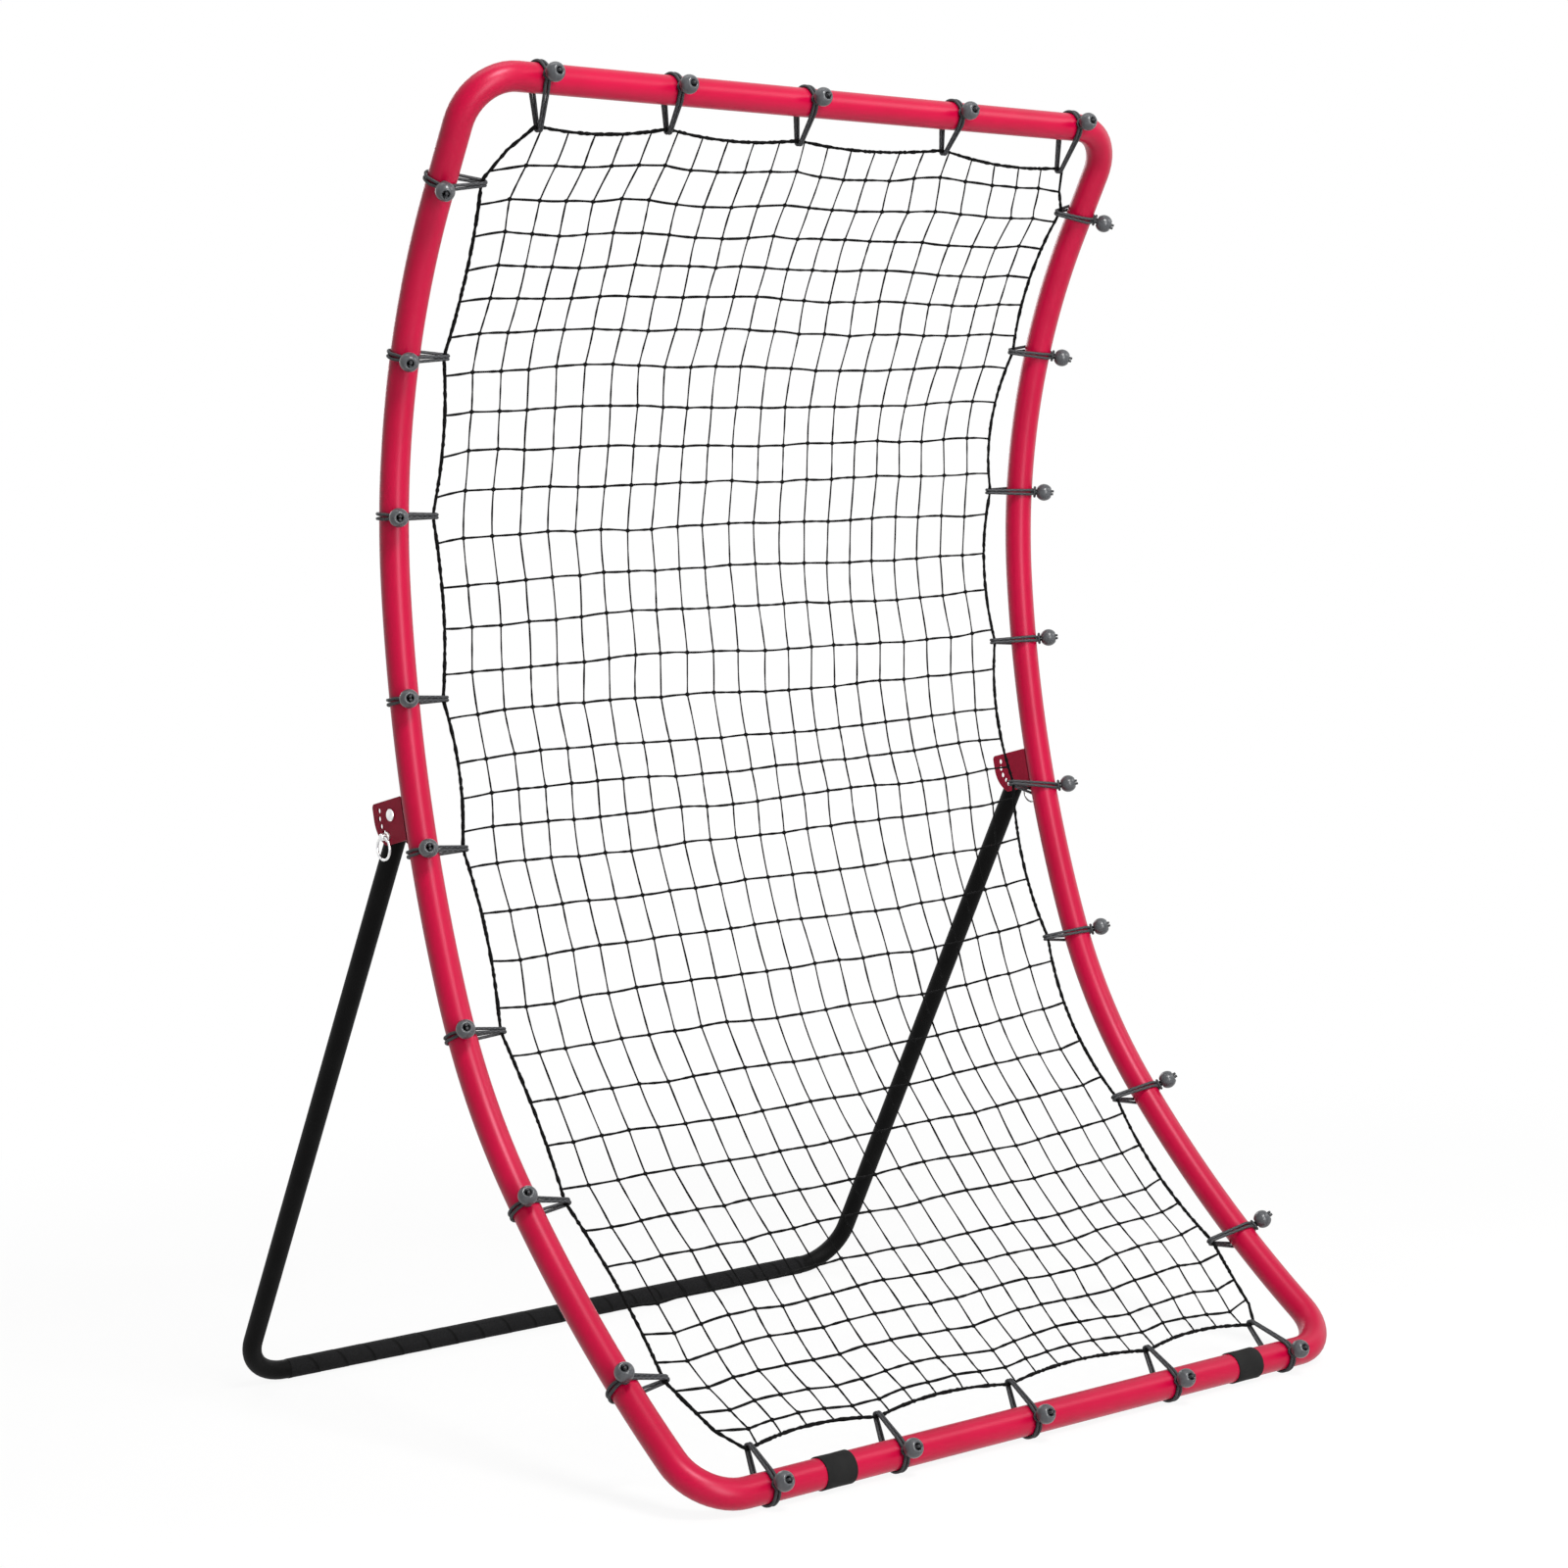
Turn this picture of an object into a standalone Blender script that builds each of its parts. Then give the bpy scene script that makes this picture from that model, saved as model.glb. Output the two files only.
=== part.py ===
# Curved ball rebounder: a concave tube frame, a knotted net held by ball bungees,
# and a folding U stand that is set by two lock pins.
# Metres. X runs to the thrower's right, Y away from the thrower, Z up.

import math

import bmesh
import bpy
from mathutils import Vector

# Running and touching gaps
GAP = 0.0003
LEG_FRONT_GAP = 0.0012
LEG_SIDE_GAP = 0.0010

# Red frame: round tube, centreline sizes
FRAME_WIDTH = 0.805
FRAME_TUBE = 0.028
FRAME_WALL = 0.0012
FRAME_CORNER = 0.049
SPIGOT_LENGTH = 0.028
SPIGOT_WALL = 0.0012
BOTTOM_STRAIGHT = 0.055
BOTTOM_LEAN = math.radians(52.1)
TOE_RADIUS = 1.260
TOE_BEND = math.radians(13.6)
SHIN_RADIUS = 0.544
SHIN_BEND = math.radians(20.6)
MIDDLE_RADIUS = 1.269
MIDDLE_BEND = math.radians(17.5)
UPPER_RADIUS = 0.644
UPPER_BEND = math.radians(33.8)
UPPER_STRAIGHT = 0.119

# Rubber bands on the bottom rail
BAND_LENGTH = 0.034
BAND_RUBBER = 0.0011
LEFT_BAND_INSET = 0.147
RIGHT_BAND_INSET = 0.133

# Net: border cord, inner cords and their spacing
NET_INSET = 0.044
TOP_INSET = 0.047
NET_COLUMNS = 11
NET_ROWS = 18
NET_STRIPS = 6
NET_CORD = 0.0016
BORDER_CORD = 0.0034
SCALLOP = 0.008
TOP_SCALLOP = 0.004
CORNER_IN = 0.0165
CORNER_UP = 0.025

# Ball bungees: a doubled elastic cord round the tube and the net's border, and a ball
BUNGEE_CORD = 0.0030
BUNGEE_WIDTH = 0.0062
BALL = 0.020
SIDE_LOW_LOOP = 0.1473
SIDE_HIGH_LOOP = 0.1008
RAIL_LOOP_MARGIN = 0.020
LEFT_BALL_TURN = math.radians(23)
RIGHT_BALL_TURN = math.radians(42)
TOP_BALL_TURN = math.radians(36)
BOTTOM_BALL_TURN = math.radians(31)
# How far each loop has slipped along its tube from even spacing
LEFT_SLIPS = (-0.0135, 0.017, 0.026, 0.034, 0.0085, 0.0125, -0.0055, -0.0045)
RIGHT_SLIPS = (0.005, 0.026, 0.049, 0.0435, 0.038, 0.0325, 0.016, 0.0045)
TOP_SLIPS = (0.003, -0.0115, -0.0155, 0.0095, 0.0075)
BOTTOM_SLIPS = (0.003, -0.0155, -0.0195, -0.0005, -0.0055)
# How far each rail loop leans to the right on its way to the net
TOP_LEANS = (0.016, 0.012, 0.008, 0.009, -0.006)
BOTTOM_LEANS = (0.010, 0.011, 0.012, 0.0095, -0.0045)

# Hinge brackets behind the side tubes
BRACKET_STATION = 0.731
BRACKET_STEEL = 0.0020
BRACKET_TOP = 0.015
BRACKET_BOTTOM = 0.027
BRACKET_REAR = 0.0315
BRACKET_NOSE = 0.006
BRACKET_ROUND = 0.004
HOLE_RING = 0.022
HOLE_STEP = math.radians(20)
HOLE_COUNT = 5

# Pivot bolts and bushes
BOLT_SHANK = 0.008
BOLT_HEAD = 0.012
BOLT_HEAD_HEIGHT = 0.0032
BOLT_SOCKET = 0.0013
BUSH_WALL = 0.0015

# Lock pins and their pull rings
PIN_SHANK = 0.005
PIN_AHEAD = 0.0046
PIN_TAIL = 0.0025
PIN_COLLAR = 0.0095
PIN_COLLAR_HEIGHT = 0.0020
PIN_STUB = 0.0070
PIN_STUB_LENGTH = 0.0068
RING_WIRE = 0.0020
RING_RADIUS = 0.011

# Stand: two bent legs and a foot tube wrapped with grip tape
STAND_TUBE = 0.020
STAND_WALL = 0.0012
STAND_CORNER = 0.050
STAND_SPIGOT = 0.024
LEG_LEAN = math.radians(31.9)
LEG_END_ROUND = 0.0106
TAPE_THICKNESS = 0.0006
TAPE_STEP = 0.0005
TAPE_TURNS = 20
TAPE_END = 0.003

# Facets
FRAME_SIDES = 12
STAND_SIDES = 12
BEND_SAG = 0.0006
CORNER_STEP = math.radians(18)

FRAME_R = FRAME_TUBE / 2
STAND_R = STAND_TUBE / 2
CORD_R = BUNGEE_CORD / 2
HALF_WIDTH = FRAME_WIDTH / 2
RAIL_HEIGHT = FRAME_R + GAP + BUNGEE_CORD

RED = ("#C8143F", 0.32, 0.0)
RED_DARK = ("#8E1B36", 0.38, 0.0)
BLACK_PAINT = ("#101011", 0.45, 0.0)
TAPE_GREY = ("#232323", 0.80, 0.0)
RUBBER = ("#161616", 0.75, 0.0)
CORD_BLACK = ("#0A0A0B", 0.85, 0.0)
CORD_GREY = ("#2B2C2E", 0.80, 0.0)
ZINC = ("#D9DADC", 0.28, 1.0)


def clear_scene():
    for obj in list(bpy.data.objects):
        bpy.data.objects.remove(obj, do_unlink=True)


def linear(channel):
    return channel / 12.92 if channel <= 0.04045 else ((channel + 0.055) / 1.055) ** 2.4


def make_material(name, finish):
    colour, roughness, metallic = finish
    rgb = [linear(int(colour[i:i + 2], 16) / 255) for i in (1, 3, 5)]
    material = bpy.data.materials.new(name)
    material.use_nodes = True
    shader = material.node_tree.nodes["Principled BSDF"]
    shader.inputs["Base Color"].default_value = (*rgb, 1.0)
    shader.inputs["Roughness"].default_value = roughness
    shader.inputs["Metallic"].default_value = metallic
    return material


def add_empty(name, place, parent=None):
    empty = bpy.data.objects.new(name, None)
    empty.empty_display_size = 0.02
    bpy.context.collection.objects.link(empty)
    empty.parent = parent
    empty.location = place
    return empty


def add_piece(name, bm, finish, parent, origin=Vector((0, 0, 0)), parent_origin=Vector((0, 0, 0))):
    """The mesh is given in the model's frame; the object's origin is put at origin."""
    bmesh.ops.remove_doubles(bm, verts=bm.verts, dist=1e-6)
    bmesh.ops.recalc_face_normals(bm, faces=bm.faces)
    bmesh.ops.translate(bm, verts=bm.verts, vec=-origin)
    mesh = bpy.data.meshes.new(name)
    bm.to_mesh(mesh)
    bm.free()
    mesh.shade_smooth()
    mesh.set_sharp_from_angle(angle=math.radians(40))
    obj = bpy.data.objects.new(name, mesh)
    bpy.context.collection.objects.link(obj)
    obj.data.materials.append(make_material(name, finish))
    obj.parent = parent
    obj.location = origin - parent_origin
    return obj


def add_tool(name, bm, parent, body, operation):
    """A hidden solid that body is cut by or joined with."""
    bmesh.ops.recalc_face_normals(bm, faces=bm.faces)
    mesh = bpy.data.meshes.new(name)
    bm.to_mesh(mesh)
    bm.free()
    tool = bpy.data.objects.new(name, mesh)
    bpy.context.collection.objects.link(tool)
    tool.parent = parent
    tool.hide_render = True
    tool.display_type = "WIRE"
    modifier = body.modifiers.new(name, "BOOLEAN")
    modifier.operation = operation
    modifier.solver = "EXACT"
    modifier.object = tool
    return tool


def add_cutter(name, bm, parent, body):
    return add_tool(name, bm, parent, body, "DIFFERENCE")


# The side profile: straight, four bends that follow on, straight

def profile_stretches():
    return (
        (BOTTOM_STRAIGHT, 0.0),
        (TOE_RADIUS * TOE_BEND, 1 / TOE_RADIUS),
        (SHIN_RADIUS * SHIN_BEND, 1 / SHIN_RADIUS),
        (MIDDLE_RADIUS * MIDDLE_BEND, 1 / MIDDLE_RADIUS),
        (UPPER_RADIUS * UPPER_BEND, 1 / UPPER_RADIUS),
        (UPPER_STRAIGHT, 0.0),
    )


def profile_length():
    return sum(length for length, _ in profile_stretches())


def profile_at(station):
    """Place (y, z) and heading, from straight up towards +Y, at a run above the bottom rail."""
    y, z, heading = 0.0, RAIL_HEIGHT, BOTTOM_LEAN
    left = station
    stretches = profile_stretches()
    for index, (length, bend) in enumerate(stretches):
        last = index == len(stretches) - 1
        run = left if last else min(left, length)
        middle = heading - bend * run / 2
        chord = run if bend == 0 else 2 / bend * math.sin(bend * run / 2)
        y += chord * math.sin(middle)
        z += chord * math.cos(middle)
        heading -= bend * run
        left -= run
        if left <= 0:
            break
    return y, z, heading


def bend_points():
    """The bent tube as straight facets, each (station, y, z) on the true curve."""
    points = [(0.0, *profile_at(0.0)[:2])]
    start = 0.0
    for length, bend in profile_stretches():
        steps = 1
        if bend:
            step = 2 * math.acos(1 - BEND_SAG * bend)
            steps = math.ceil(length * bend / step)
        for k in range(1, steps + 1):
            station = start + length * k / steps
            points.append((station, *profile_at(station)[:2]))
        start += length
    return points


FACETS = bend_points()


def side_frame(station):
    """Point on the centreline, the way up the tube, and the way to the thrower's side."""
    for low, high in zip(FACETS, FACETS[1:]):
        if station <= high[0]:
            break
    part = (station - low[0]) / (high[0] - low[0])
    start, end = Vector((0, low[1], low[2])), Vector((0, high[1], high[2]))
    up = (end - start).normalized()
    return start.lerp(end, part), up, Vector((0, -up.z, up.y))


def on_net(x, station, lift=0.0):
    point, _, front = side_frame(station)
    return point + Vector((x, 0, 0)) + front * lift


# Swept and turned solids

def ring_verts(bm, centre, side, other, radius, sides):
    half = math.pi / sides
    return [bm.verts.new(centre + side * (radius * math.cos(2 * half * k + half))
                         + other * (radius * math.sin(2 * half * k + half))) for k in range(sides)]


def skin(bm, first, second):
    count = len(first)
    for k in range(count):
        bm.faces.new((first[k], first[(k + 1) % count], second[(k + 1) % count], second[k]))


def path_frames(points, first_side, closed=False):
    """Mitre-plane frames carried along the path without twist."""
    count = len(points)
    frames = []
    side = first_side
    for k in range(count):
        before = points[k] - points[k - 1] if k > 0 or closed else points[1] - points[0]
        after = points[(k + 1) % count] - points[k] if k < count - 1 or closed else before
        before, after = before.normalized(), after.normalized()
        tangent = (before + after).normalized()
        side = (side - tangent * side.dot(tangent)).normalized()
        stretch = 1 / max(0.5, tangent.dot(after))
        frames.append((points[k], tangent, side, tangent.cross(side), stretch, after - before))
    return frames


def sweep(bm, points, radius, sides, first_side, bore=None, closed=False):
    """A round tube along points; with a bore it is open at both ends."""
    outer, inner = [], []
    for centre, _, side, other, _, _ in path_frames(points, first_side, closed):
        outer.append(ring_verts(bm, centre, side, other, radius, sides))
        if bore:
            inner.append(ring_verts(bm, centre, side, other, bore, sides))
    for rings in (outer, inner):
        for k in range(len(rings) - 1):
            skin(bm, rings[k], rings[k + 1])
        if closed and rings:
            skin(bm, rings[-1], rings[0])
    if closed:
        return
    if bore:
        skin(bm, outer[0], inner[0])
        skin(bm, outer[-1], inner[-1])
    else:
        bm.faces.new(outer[0])
        bm.faces.new(outer[-1])


def turn(bm, centre, axis, side, outline, sides):
    """Turn an outline of (along, radius) points about axis; radius 0 closes on the axis."""
    other = axis.cross(side)
    rings = []
    for along, radius in outline:
        middle = centre + axis * along
        rings.append([bm.verts.new(middle)] if radius == 0 else ring_verts(bm, middle, side, other, radius, sides))
    closed = outline[0][1] > 0 and outline[-1][1] > 0
    pairs = list(zip(rings, rings[1:])) + ([(rings[-1], rings[0])] if closed else [])
    for first, second in pairs:
        if len(first) == 1 or len(second) == 1:
            tip, loop = (first[0], second) if len(first) == 1 else (second[0], first)
            for k in range(sides):
                bm.faces.new((tip, loop[k], loop[(k + 1) % sides]))
        else:
            skin(bm, first, second)


def prism(bm, outline, low_x, high_x):
    """A flat outline of (y, z) points, extruded along X."""
    near = [bm.verts.new((low_x, y, z)) for y, z in outline]
    far = [bm.verts.new((high_x, y, z)) for y, z in outline]
    bm.faces.new(near)
    bm.faces.new(far)
    skin(bm, near, far)


def around(radius, sides):
    """Corner radius of a bore whose flats just clear a round of this radius."""
    return radius / math.cos(math.pi / sides)


def yz(direction_angle, length=1.0):
    """A vector in the YZ plane, turned from straight down towards +Y."""
    return Vector((0, math.sin(direction_angle) * length, -math.cos(direction_angle) * length))


# Frame

def corner_arc(corner, along, inward, radius):
    """Arc points from the rail into the side tube; along leaves the corner on the side tube."""
    steps = max(3, round(math.pi / 2 / CORNER_STEP))
    centre = corner + along * radius + inward * radius
    return [centre - along * (radius * math.cos(a)) - inward * (radius * math.sin(a))
            for a in (math.pi / 2 * k / steps for k in range(steps + 1))]


def side_path(hand):
    """Centreline of a side tube with its two corners and the stubs that take the rails."""
    inward = Vector((-hand, 0, 0))
    total = profile_length()
    offset = Vector((hand * HALF_WIDTH, 0, 0))
    stub = inward * (FRAME_CORNER + SPIGOT_LENGTH + GAP)
    low, low_up, _ = side_frame(0)
    high, high_up, _ = side_frame(total)
    points = [low + offset + stub]
    points += corner_arc(low + offset, low_up, inward, FRAME_CORNER)
    points += [Vector((0, y, z)) + offset for _, y, z in FACETS[1:-1]]
    points += reversed(corner_arc(high + offset, -high_up, inward, FRAME_CORNER))
    points.append(high + offset + stub)
    tidy = [points[0]]
    for point in points[1:]:
        if (point - tidy[-1]).length > 1e-5:
            tidy.append(point)
    return tidy


def make_side_tube(name, hand, root):
    bm = bmesh.new()
    bore = around(FRAME_R - FRAME_WALL, FRAME_SIDES)
    sweep(bm, side_path(hand), FRAME_R, FRAME_SIDES, side_frame(0)[2], bore)
    return add_piece(name, bm, RED, root)


def make_rail(name, station, root):
    """A straight rail whose ends are drawn down to plug into the side tubes."""
    centre, _, front = side_frame(station)
    half = HALF_WIDTH - FRAME_CORNER - SPIGOT_LENGTH - 2 * GAP
    plug = FRAME_R - FRAME_WALL - GAP
    bore = plug - SPIGOT_WALL
    tip = half + SPIGOT_LENGTH
    outline = ((-tip, plug), (-half, plug), (-half, FRAME_R), (half, FRAME_R), (half, plug), (tip, plug),
               (tip, bore), (-tip, bore))
    bm = bmesh.new()
    turn(bm, centre, Vector((1, 0, 0)), front, outline, FRAME_SIDES)
    return add_piece(name, bm, RED, root)


def make_band(name, hand, inset, root):
    """A band, set in from the side tube's centreline."""
    centre, _, front = side_frame(0)
    x = hand * (HALF_WIDTH - inset)
    bore = FRAME_R + GAP
    outline = ((-BAND_LENGTH / 2, bore), (-BAND_LENGTH / 2, bore + BAND_RUBBER),
               (BAND_LENGTH / 2, bore + BAND_RUBBER), (BAND_LENGTH / 2, bore))
    bm = bmesh.new()
    turn(bm, centre + Vector((x, 0, 0)), Vector((1, 0, 0)), front, outline, FRAME_SIDES)
    return add_piece(name, bm, RUBBER, root)


# Where the loops sit

def even(count, first, last):
    return [first + (last - first) * k / (count - 1) for k in range(count)]


def net_edge_stations():
    return NET_INSET + CORNER_UP, profile_length() - TOP_INSET - CORNER_UP


def net_half():
    return HALF_WIDTH - NET_INSET - CORNER_IN


def row_stations():
    low, high = net_edge_stations()
    return even(NET_ROWS + 1, low, high)


def column_places():
    half = net_half()
    return even(NET_COLUMNS + 1, -half, half)


def beside(place, cords):
    """A hook goes beside a net cord, never over its end."""
    clear = BUNGEE_WIDTH / 2 + NET_CORD / 2 + 2 * GAP
    for cord in cords:
        if abs(place - cord) < clear:
            return cord + (clear if place >= cord else -clear)
    return place


def below_bracket(station):
    """A loop near a hinge bracket sits just off its end."""
    clear = BUNGEE_WIDTH / 2 + 2 * GAP
    low = BRACKET_STATION - BRACKET_BOTTOM - clear
    high = BRACKET_STATION + BRACKET_TOP + clear
    if low < station < high:
        return low if station - low < high - station else high
    return station


def side_loop_stations(slips):
    places = even(len(slips), SIDE_LOW_LOOP, profile_length() - SIDE_HIGH_LOOP)
    return [below_bracket(beside(place + slip, row_stations())) for place, slip in zip(places, slips)]


def rail_hooks(slips, leans):
    """Where the loops of a rail hold the net."""
    reach = HALF_WIDTH - FRAME_CORNER - RAIL_LOOP_MARGIN
    return [beside(place + slip + lean, column_places())
            for place, slip, lean in zip(even(len(slips), -reach, reach), slips, leans)]


def bottom_hooks():
    return rail_hooks(BOTTOM_SLIPS, BOTTOM_LEANS)


def top_hooks():
    return rail_hooks(TOP_SLIPS, TOP_LEANS)


# Bungees

def around_circle(centre, radius, normals):
    """Corners of the straight pieces that touch a circle at these angles."""
    points = []
    for a, b in zip(normals, normals[1:]):
        reach = radius / math.cos((b - a) / 2)
        points.append((centre + reach * math.cos((a + b) / 2), reach * math.sin((a + b) / 2)))
    return points


def loop_path(flat_angle, inset):
    """Closed outline round the tube and the net's border, in (outward, front) terms.

    Flats lie every 30 degrees from flat_angle, the way to the ball or to the floor."""
    step = math.radians(30)
    big = FRAME_R + GAP + CORD_R
    small = BORDER_CORD / 2 + GAP + CORD_R
    lean = math.acos((big - small) / inset)
    end = math.pi - lean
    flats = [flat_angle + step * k for k in range(-6, 7) if abs(flat_angle + step * k) < end - step * 0.3]
    points = around_circle(0, big, [-end] + flats + [end])
    points += around_circle(-inset, small, [end, math.pi - lean / 3, math.pi + lean / 3, math.pi + lean])
    return points


def add_loop(bm, centre, outward, front, along, flat_angle, inset, lean):
    """A flattened doubled cord along the loop's outline, slid along the tube by its lean."""
    points = [centre + outward * o + front * f + along * (lean * min(1, max(0, -o / inset)))
              for o, f in loop_path(flat_angle, inset)]
    wide, flat = BUNGEE_WIDTH / 2, CORD_R
    section = ((-wide, -flat), (-wide, flat), (wide, flat), (wide, -flat))
    rings = []
    for point, tangent, _, _, stretch, _ in path_frames(points, along, closed=True):
        radial = tangent.cross(along).normalized()
        rings.append([bm.verts.new(point + along * w + radial * (t * stretch)) for w, t in section])
    for k in range(len(rings)):
        skin(bm, rings[k - 1], rings[k])


def ball_reach():
    return FRAME_R + GAP + BUNGEE_CORD + GAP + BALL / 2


def ball_and_stem(place, axis):
    """The ball, with the two cord ends that run from the loop into its bore."""
    steps = 4
    stem = BUNGEE_CORD * 0.8
    radius = BALL / 2
    neck = math.acos(stem / radius)
    outline = [(-ball_reach() + FRAME_R + GAP + CORD_R, 0), (-ball_reach() + FRAME_R + GAP + CORD_R, stem)]
    outline += [(radius * math.sin(a), radius * math.cos(a)) for a in even(steps + 1, -neck, math.pi / 2)]
    outline[-1] = (radius, 0)
    side = Vector((1, 0, 0)) if abs(axis.x) < 0.9 else Vector((0, 0, 1))
    side = (side - axis * side.dot(axis)).normalized()
    bm = bmesh.new()
    turn(bm, place, axis, side, outline, 8)
    return bm


def make_bungees(name, seats, ball_turn, flat_angle, inset, root):
    """One ball bungee for each seat: a doubled cord knotted into its ball.

    A seat is (tube centre, outward, front, along the tube, lean)."""
    ball_angle = math.pi / 2 - ball_turn
    for number, (centre, outward, front, along, lean) in enumerate(seats, 1):
        bm = bmesh.new()
        add_loop(bm, centre, outward, front, along, flat_angle, inset, lean)
        bungee = add_piece(f"{name}_bungee_{number}", bm, CORD_GREY, root)
        axis = outward * math.cos(ball_angle) + front * math.sin(ball_angle)
        ball = ball_and_stem(centre + axis * ball_reach(), axis)
        add_tool(f"{name}_ball_{number}", ball, root, bungee, "UNION")


def side_seats(hand, slips):
    outward = Vector((hand, 0, 0))
    seats = []
    for station in side_loop_stations(slips):
        centre, up, front = side_frame(station)
        seats.append((centre + outward * HALF_WIDTH, outward, front, up, 0.0))
    return seats


def rail_seats(station, sign, hooks, leans):
    centre, up, front = side_frame(station)
    along = Vector((1, 0, 0))
    return [(centre + along * (x - lean), up * sign, front, along, lean) for x, lean in zip(hooks, leans)]


# Net

def loop_hold():
    """Half the length over which the border runs straight under a loop."""
    return BUNGEE_WIDTH / 2 + 4 * GAP


def pulled_in(place, loops, first, last, corner_pull, scallop):
    """How far the border is drawn in: scallops between loops, straight cuts at the corners."""
    hold = loop_hold()
    for low, high in zip([first] + loops, loops + [last]):
        if place <= high or high == last:
            break
    if low == first or high == last:
        near, corner = (high, first) if low == first else (low, last)
        part = (abs(place - near) - hold) / (abs(corner - near) - hold)
        return corner_pull * min(1, max(0, part))
    part = min(1, max(0, (place - low - hold) / (high - low - 2 * hold)))
    return scallop * 4 * part * (1 - part)


def side_edge(hand, station, slips):
    low, high = net_edge_stations()
    drawn_in = pulled_in(station, side_loop_stations(slips), low, high, CORNER_IN, SCALLOP)
    return hand * (HALF_WIDTH - NET_INSET - drawn_in)


def bottom_edge(x):
    """How far the net's border lies above the bottom rail."""
    half = net_half()
    return NET_INSET + pulled_in(x, bottom_hooks(), -half, half, CORNER_UP, SCALLOP)


def top_edge(x):
    """How far the net's border lies below the top rail."""
    half = net_half()
    return TOP_INSET + pulled_in(x, top_hooks(), -half, half, CORNER_UP, TOP_SCALLOP)


def net_node(column, row):
    """Place (x, station) of a crossing; the outer ones lie on the border cord."""
    across, up = column / NET_COLUMNS, row / NET_ROWS
    station_even = row_stations()[row]
    left = side_edge(-1, station_even, LEFT_SLIPS)
    right = side_edge(1, station_even, RIGHT_SLIPS)
    low = bottom_edge(column_places()[column])
    high = profile_length() - top_edge(column_places()[column])
    return left + (right - left) * across, low + (high - low) * up


def make_net_strip(name, bottom, top, root):
    """Inner cords from one row to another as a square-section lattice.

    The net is made in strips, each nearly flat, so that what hits it meets the net and not a
    hull across its curve. Each strip's cords end against the border or the strip below."""
    bm = bmesh.new()
    half = NET_CORD / 2
    at_border = BORDER_CORD / 2 + GAP
    corners = {}
    columns, rows = range(1, NET_COLUMNS), range(bottom + 1, min(top, NET_ROWS - 1) + 1)

    def post(key, x, station):
        """Front and back vertex of one corner of a crossing."""
        corners[key] = (bm.verts.new(on_net(x, station, half)), bm.verts.new(on_net(x, station, -half)))

    for column in columns:
        for row in rows:
            x, station = net_node(column, row)
            for dx, ds in ((-1, -1), (1, -1), (1, 1), (-1, 1)):
                post((column, row, dx, ds), x + dx * half, station + ds * half)
    for row in rows:
        for column, inward in ((0, 1), (NET_COLUMNS, -1)):
            x, station = net_node(column, row)
            for ds in (-1, 1):
                post((column, row, inward, ds), x + inward * at_border, station + ds * half)
    ends = [(bottom, 1, at_border if bottom == 0 else half + GAP)]
    if top == NET_ROWS:
        ends.append((top, -1, at_border))
    for column in columns:
        for row, inward, stop in ends:
            x, station = net_node(column, row)
            for dx in (-1, 1):
                post((column, row, dx, inward), x + dx * half, station + inward * stop)

    def strand(a, b, c, d, caps):
        """One cord between crossings; a, b at one end and c, d at the other, in turn."""
        a, b, c, d = corners[a], corners[b], corners[c], corners[d]
        bm.faces.new((a[0], b[0], c[0], d[0]))
        bm.faces.new((d[1], c[1], b[1], a[1]))
        bm.faces.new((b[0], b[1], c[1], c[0]))
        bm.faces.new((d[0], d[1], a[1], a[0]))
        if "start" in caps:
            bm.faces.new((a[0], a[1], b[1], b[0]))
        if "end" in caps:
            bm.faces.new((c[0], c[1], d[1], d[0]))

    for column in columns:
        for row in rows:
            four = [corners[(column, row, dx, ds)] for dx, ds in ((-1, -1), (1, -1), (1, 1), (-1, 1))]
            bm.faces.new([pair[0] for pair in four])
            bm.faces.new([pair[1] for pair in reversed(four)])
            if row == top:
                bm.faces.new((four[2][0], four[3][0], four[3][1], four[2][1]))
    for row in rows:
        for column in range(NET_COLUMNS):
            caps = ("start",) if column == 0 else ("end",) if column == NET_COLUMNS - 1 else ()
            strand((column, row, 1, 1), (column, row, 1, -1),
                   (column + 1, row, -1, -1), (column + 1, row, -1, 1), caps)
    for column in columns:
        for row in range(bottom, top):
            caps = ("start",) if row == bottom else ("end",) if row == NET_ROWS - 1 else ()
            strand((column, row, -1, 1), (column, row, 1, 1),
                   (column, row + 1, 1, -1), (column, row + 1, -1, -1), caps)
    return add_piece(name, bm, CORD_BLACK, root)


def make_net(root):
    limits = [round(NET_ROWS * k / NET_STRIPS) for k in range(NET_STRIPS + 1)]
    for number, (bottom, top) in enumerate(zip(limits, limits[1:]), 1):
        make_net_strip(f"net_mesh_{number}", bottom, top, root)


def held_ends(loops):
    return {place + sign * loop_hold() for place in loops for sign in (-1, 1)}


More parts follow.
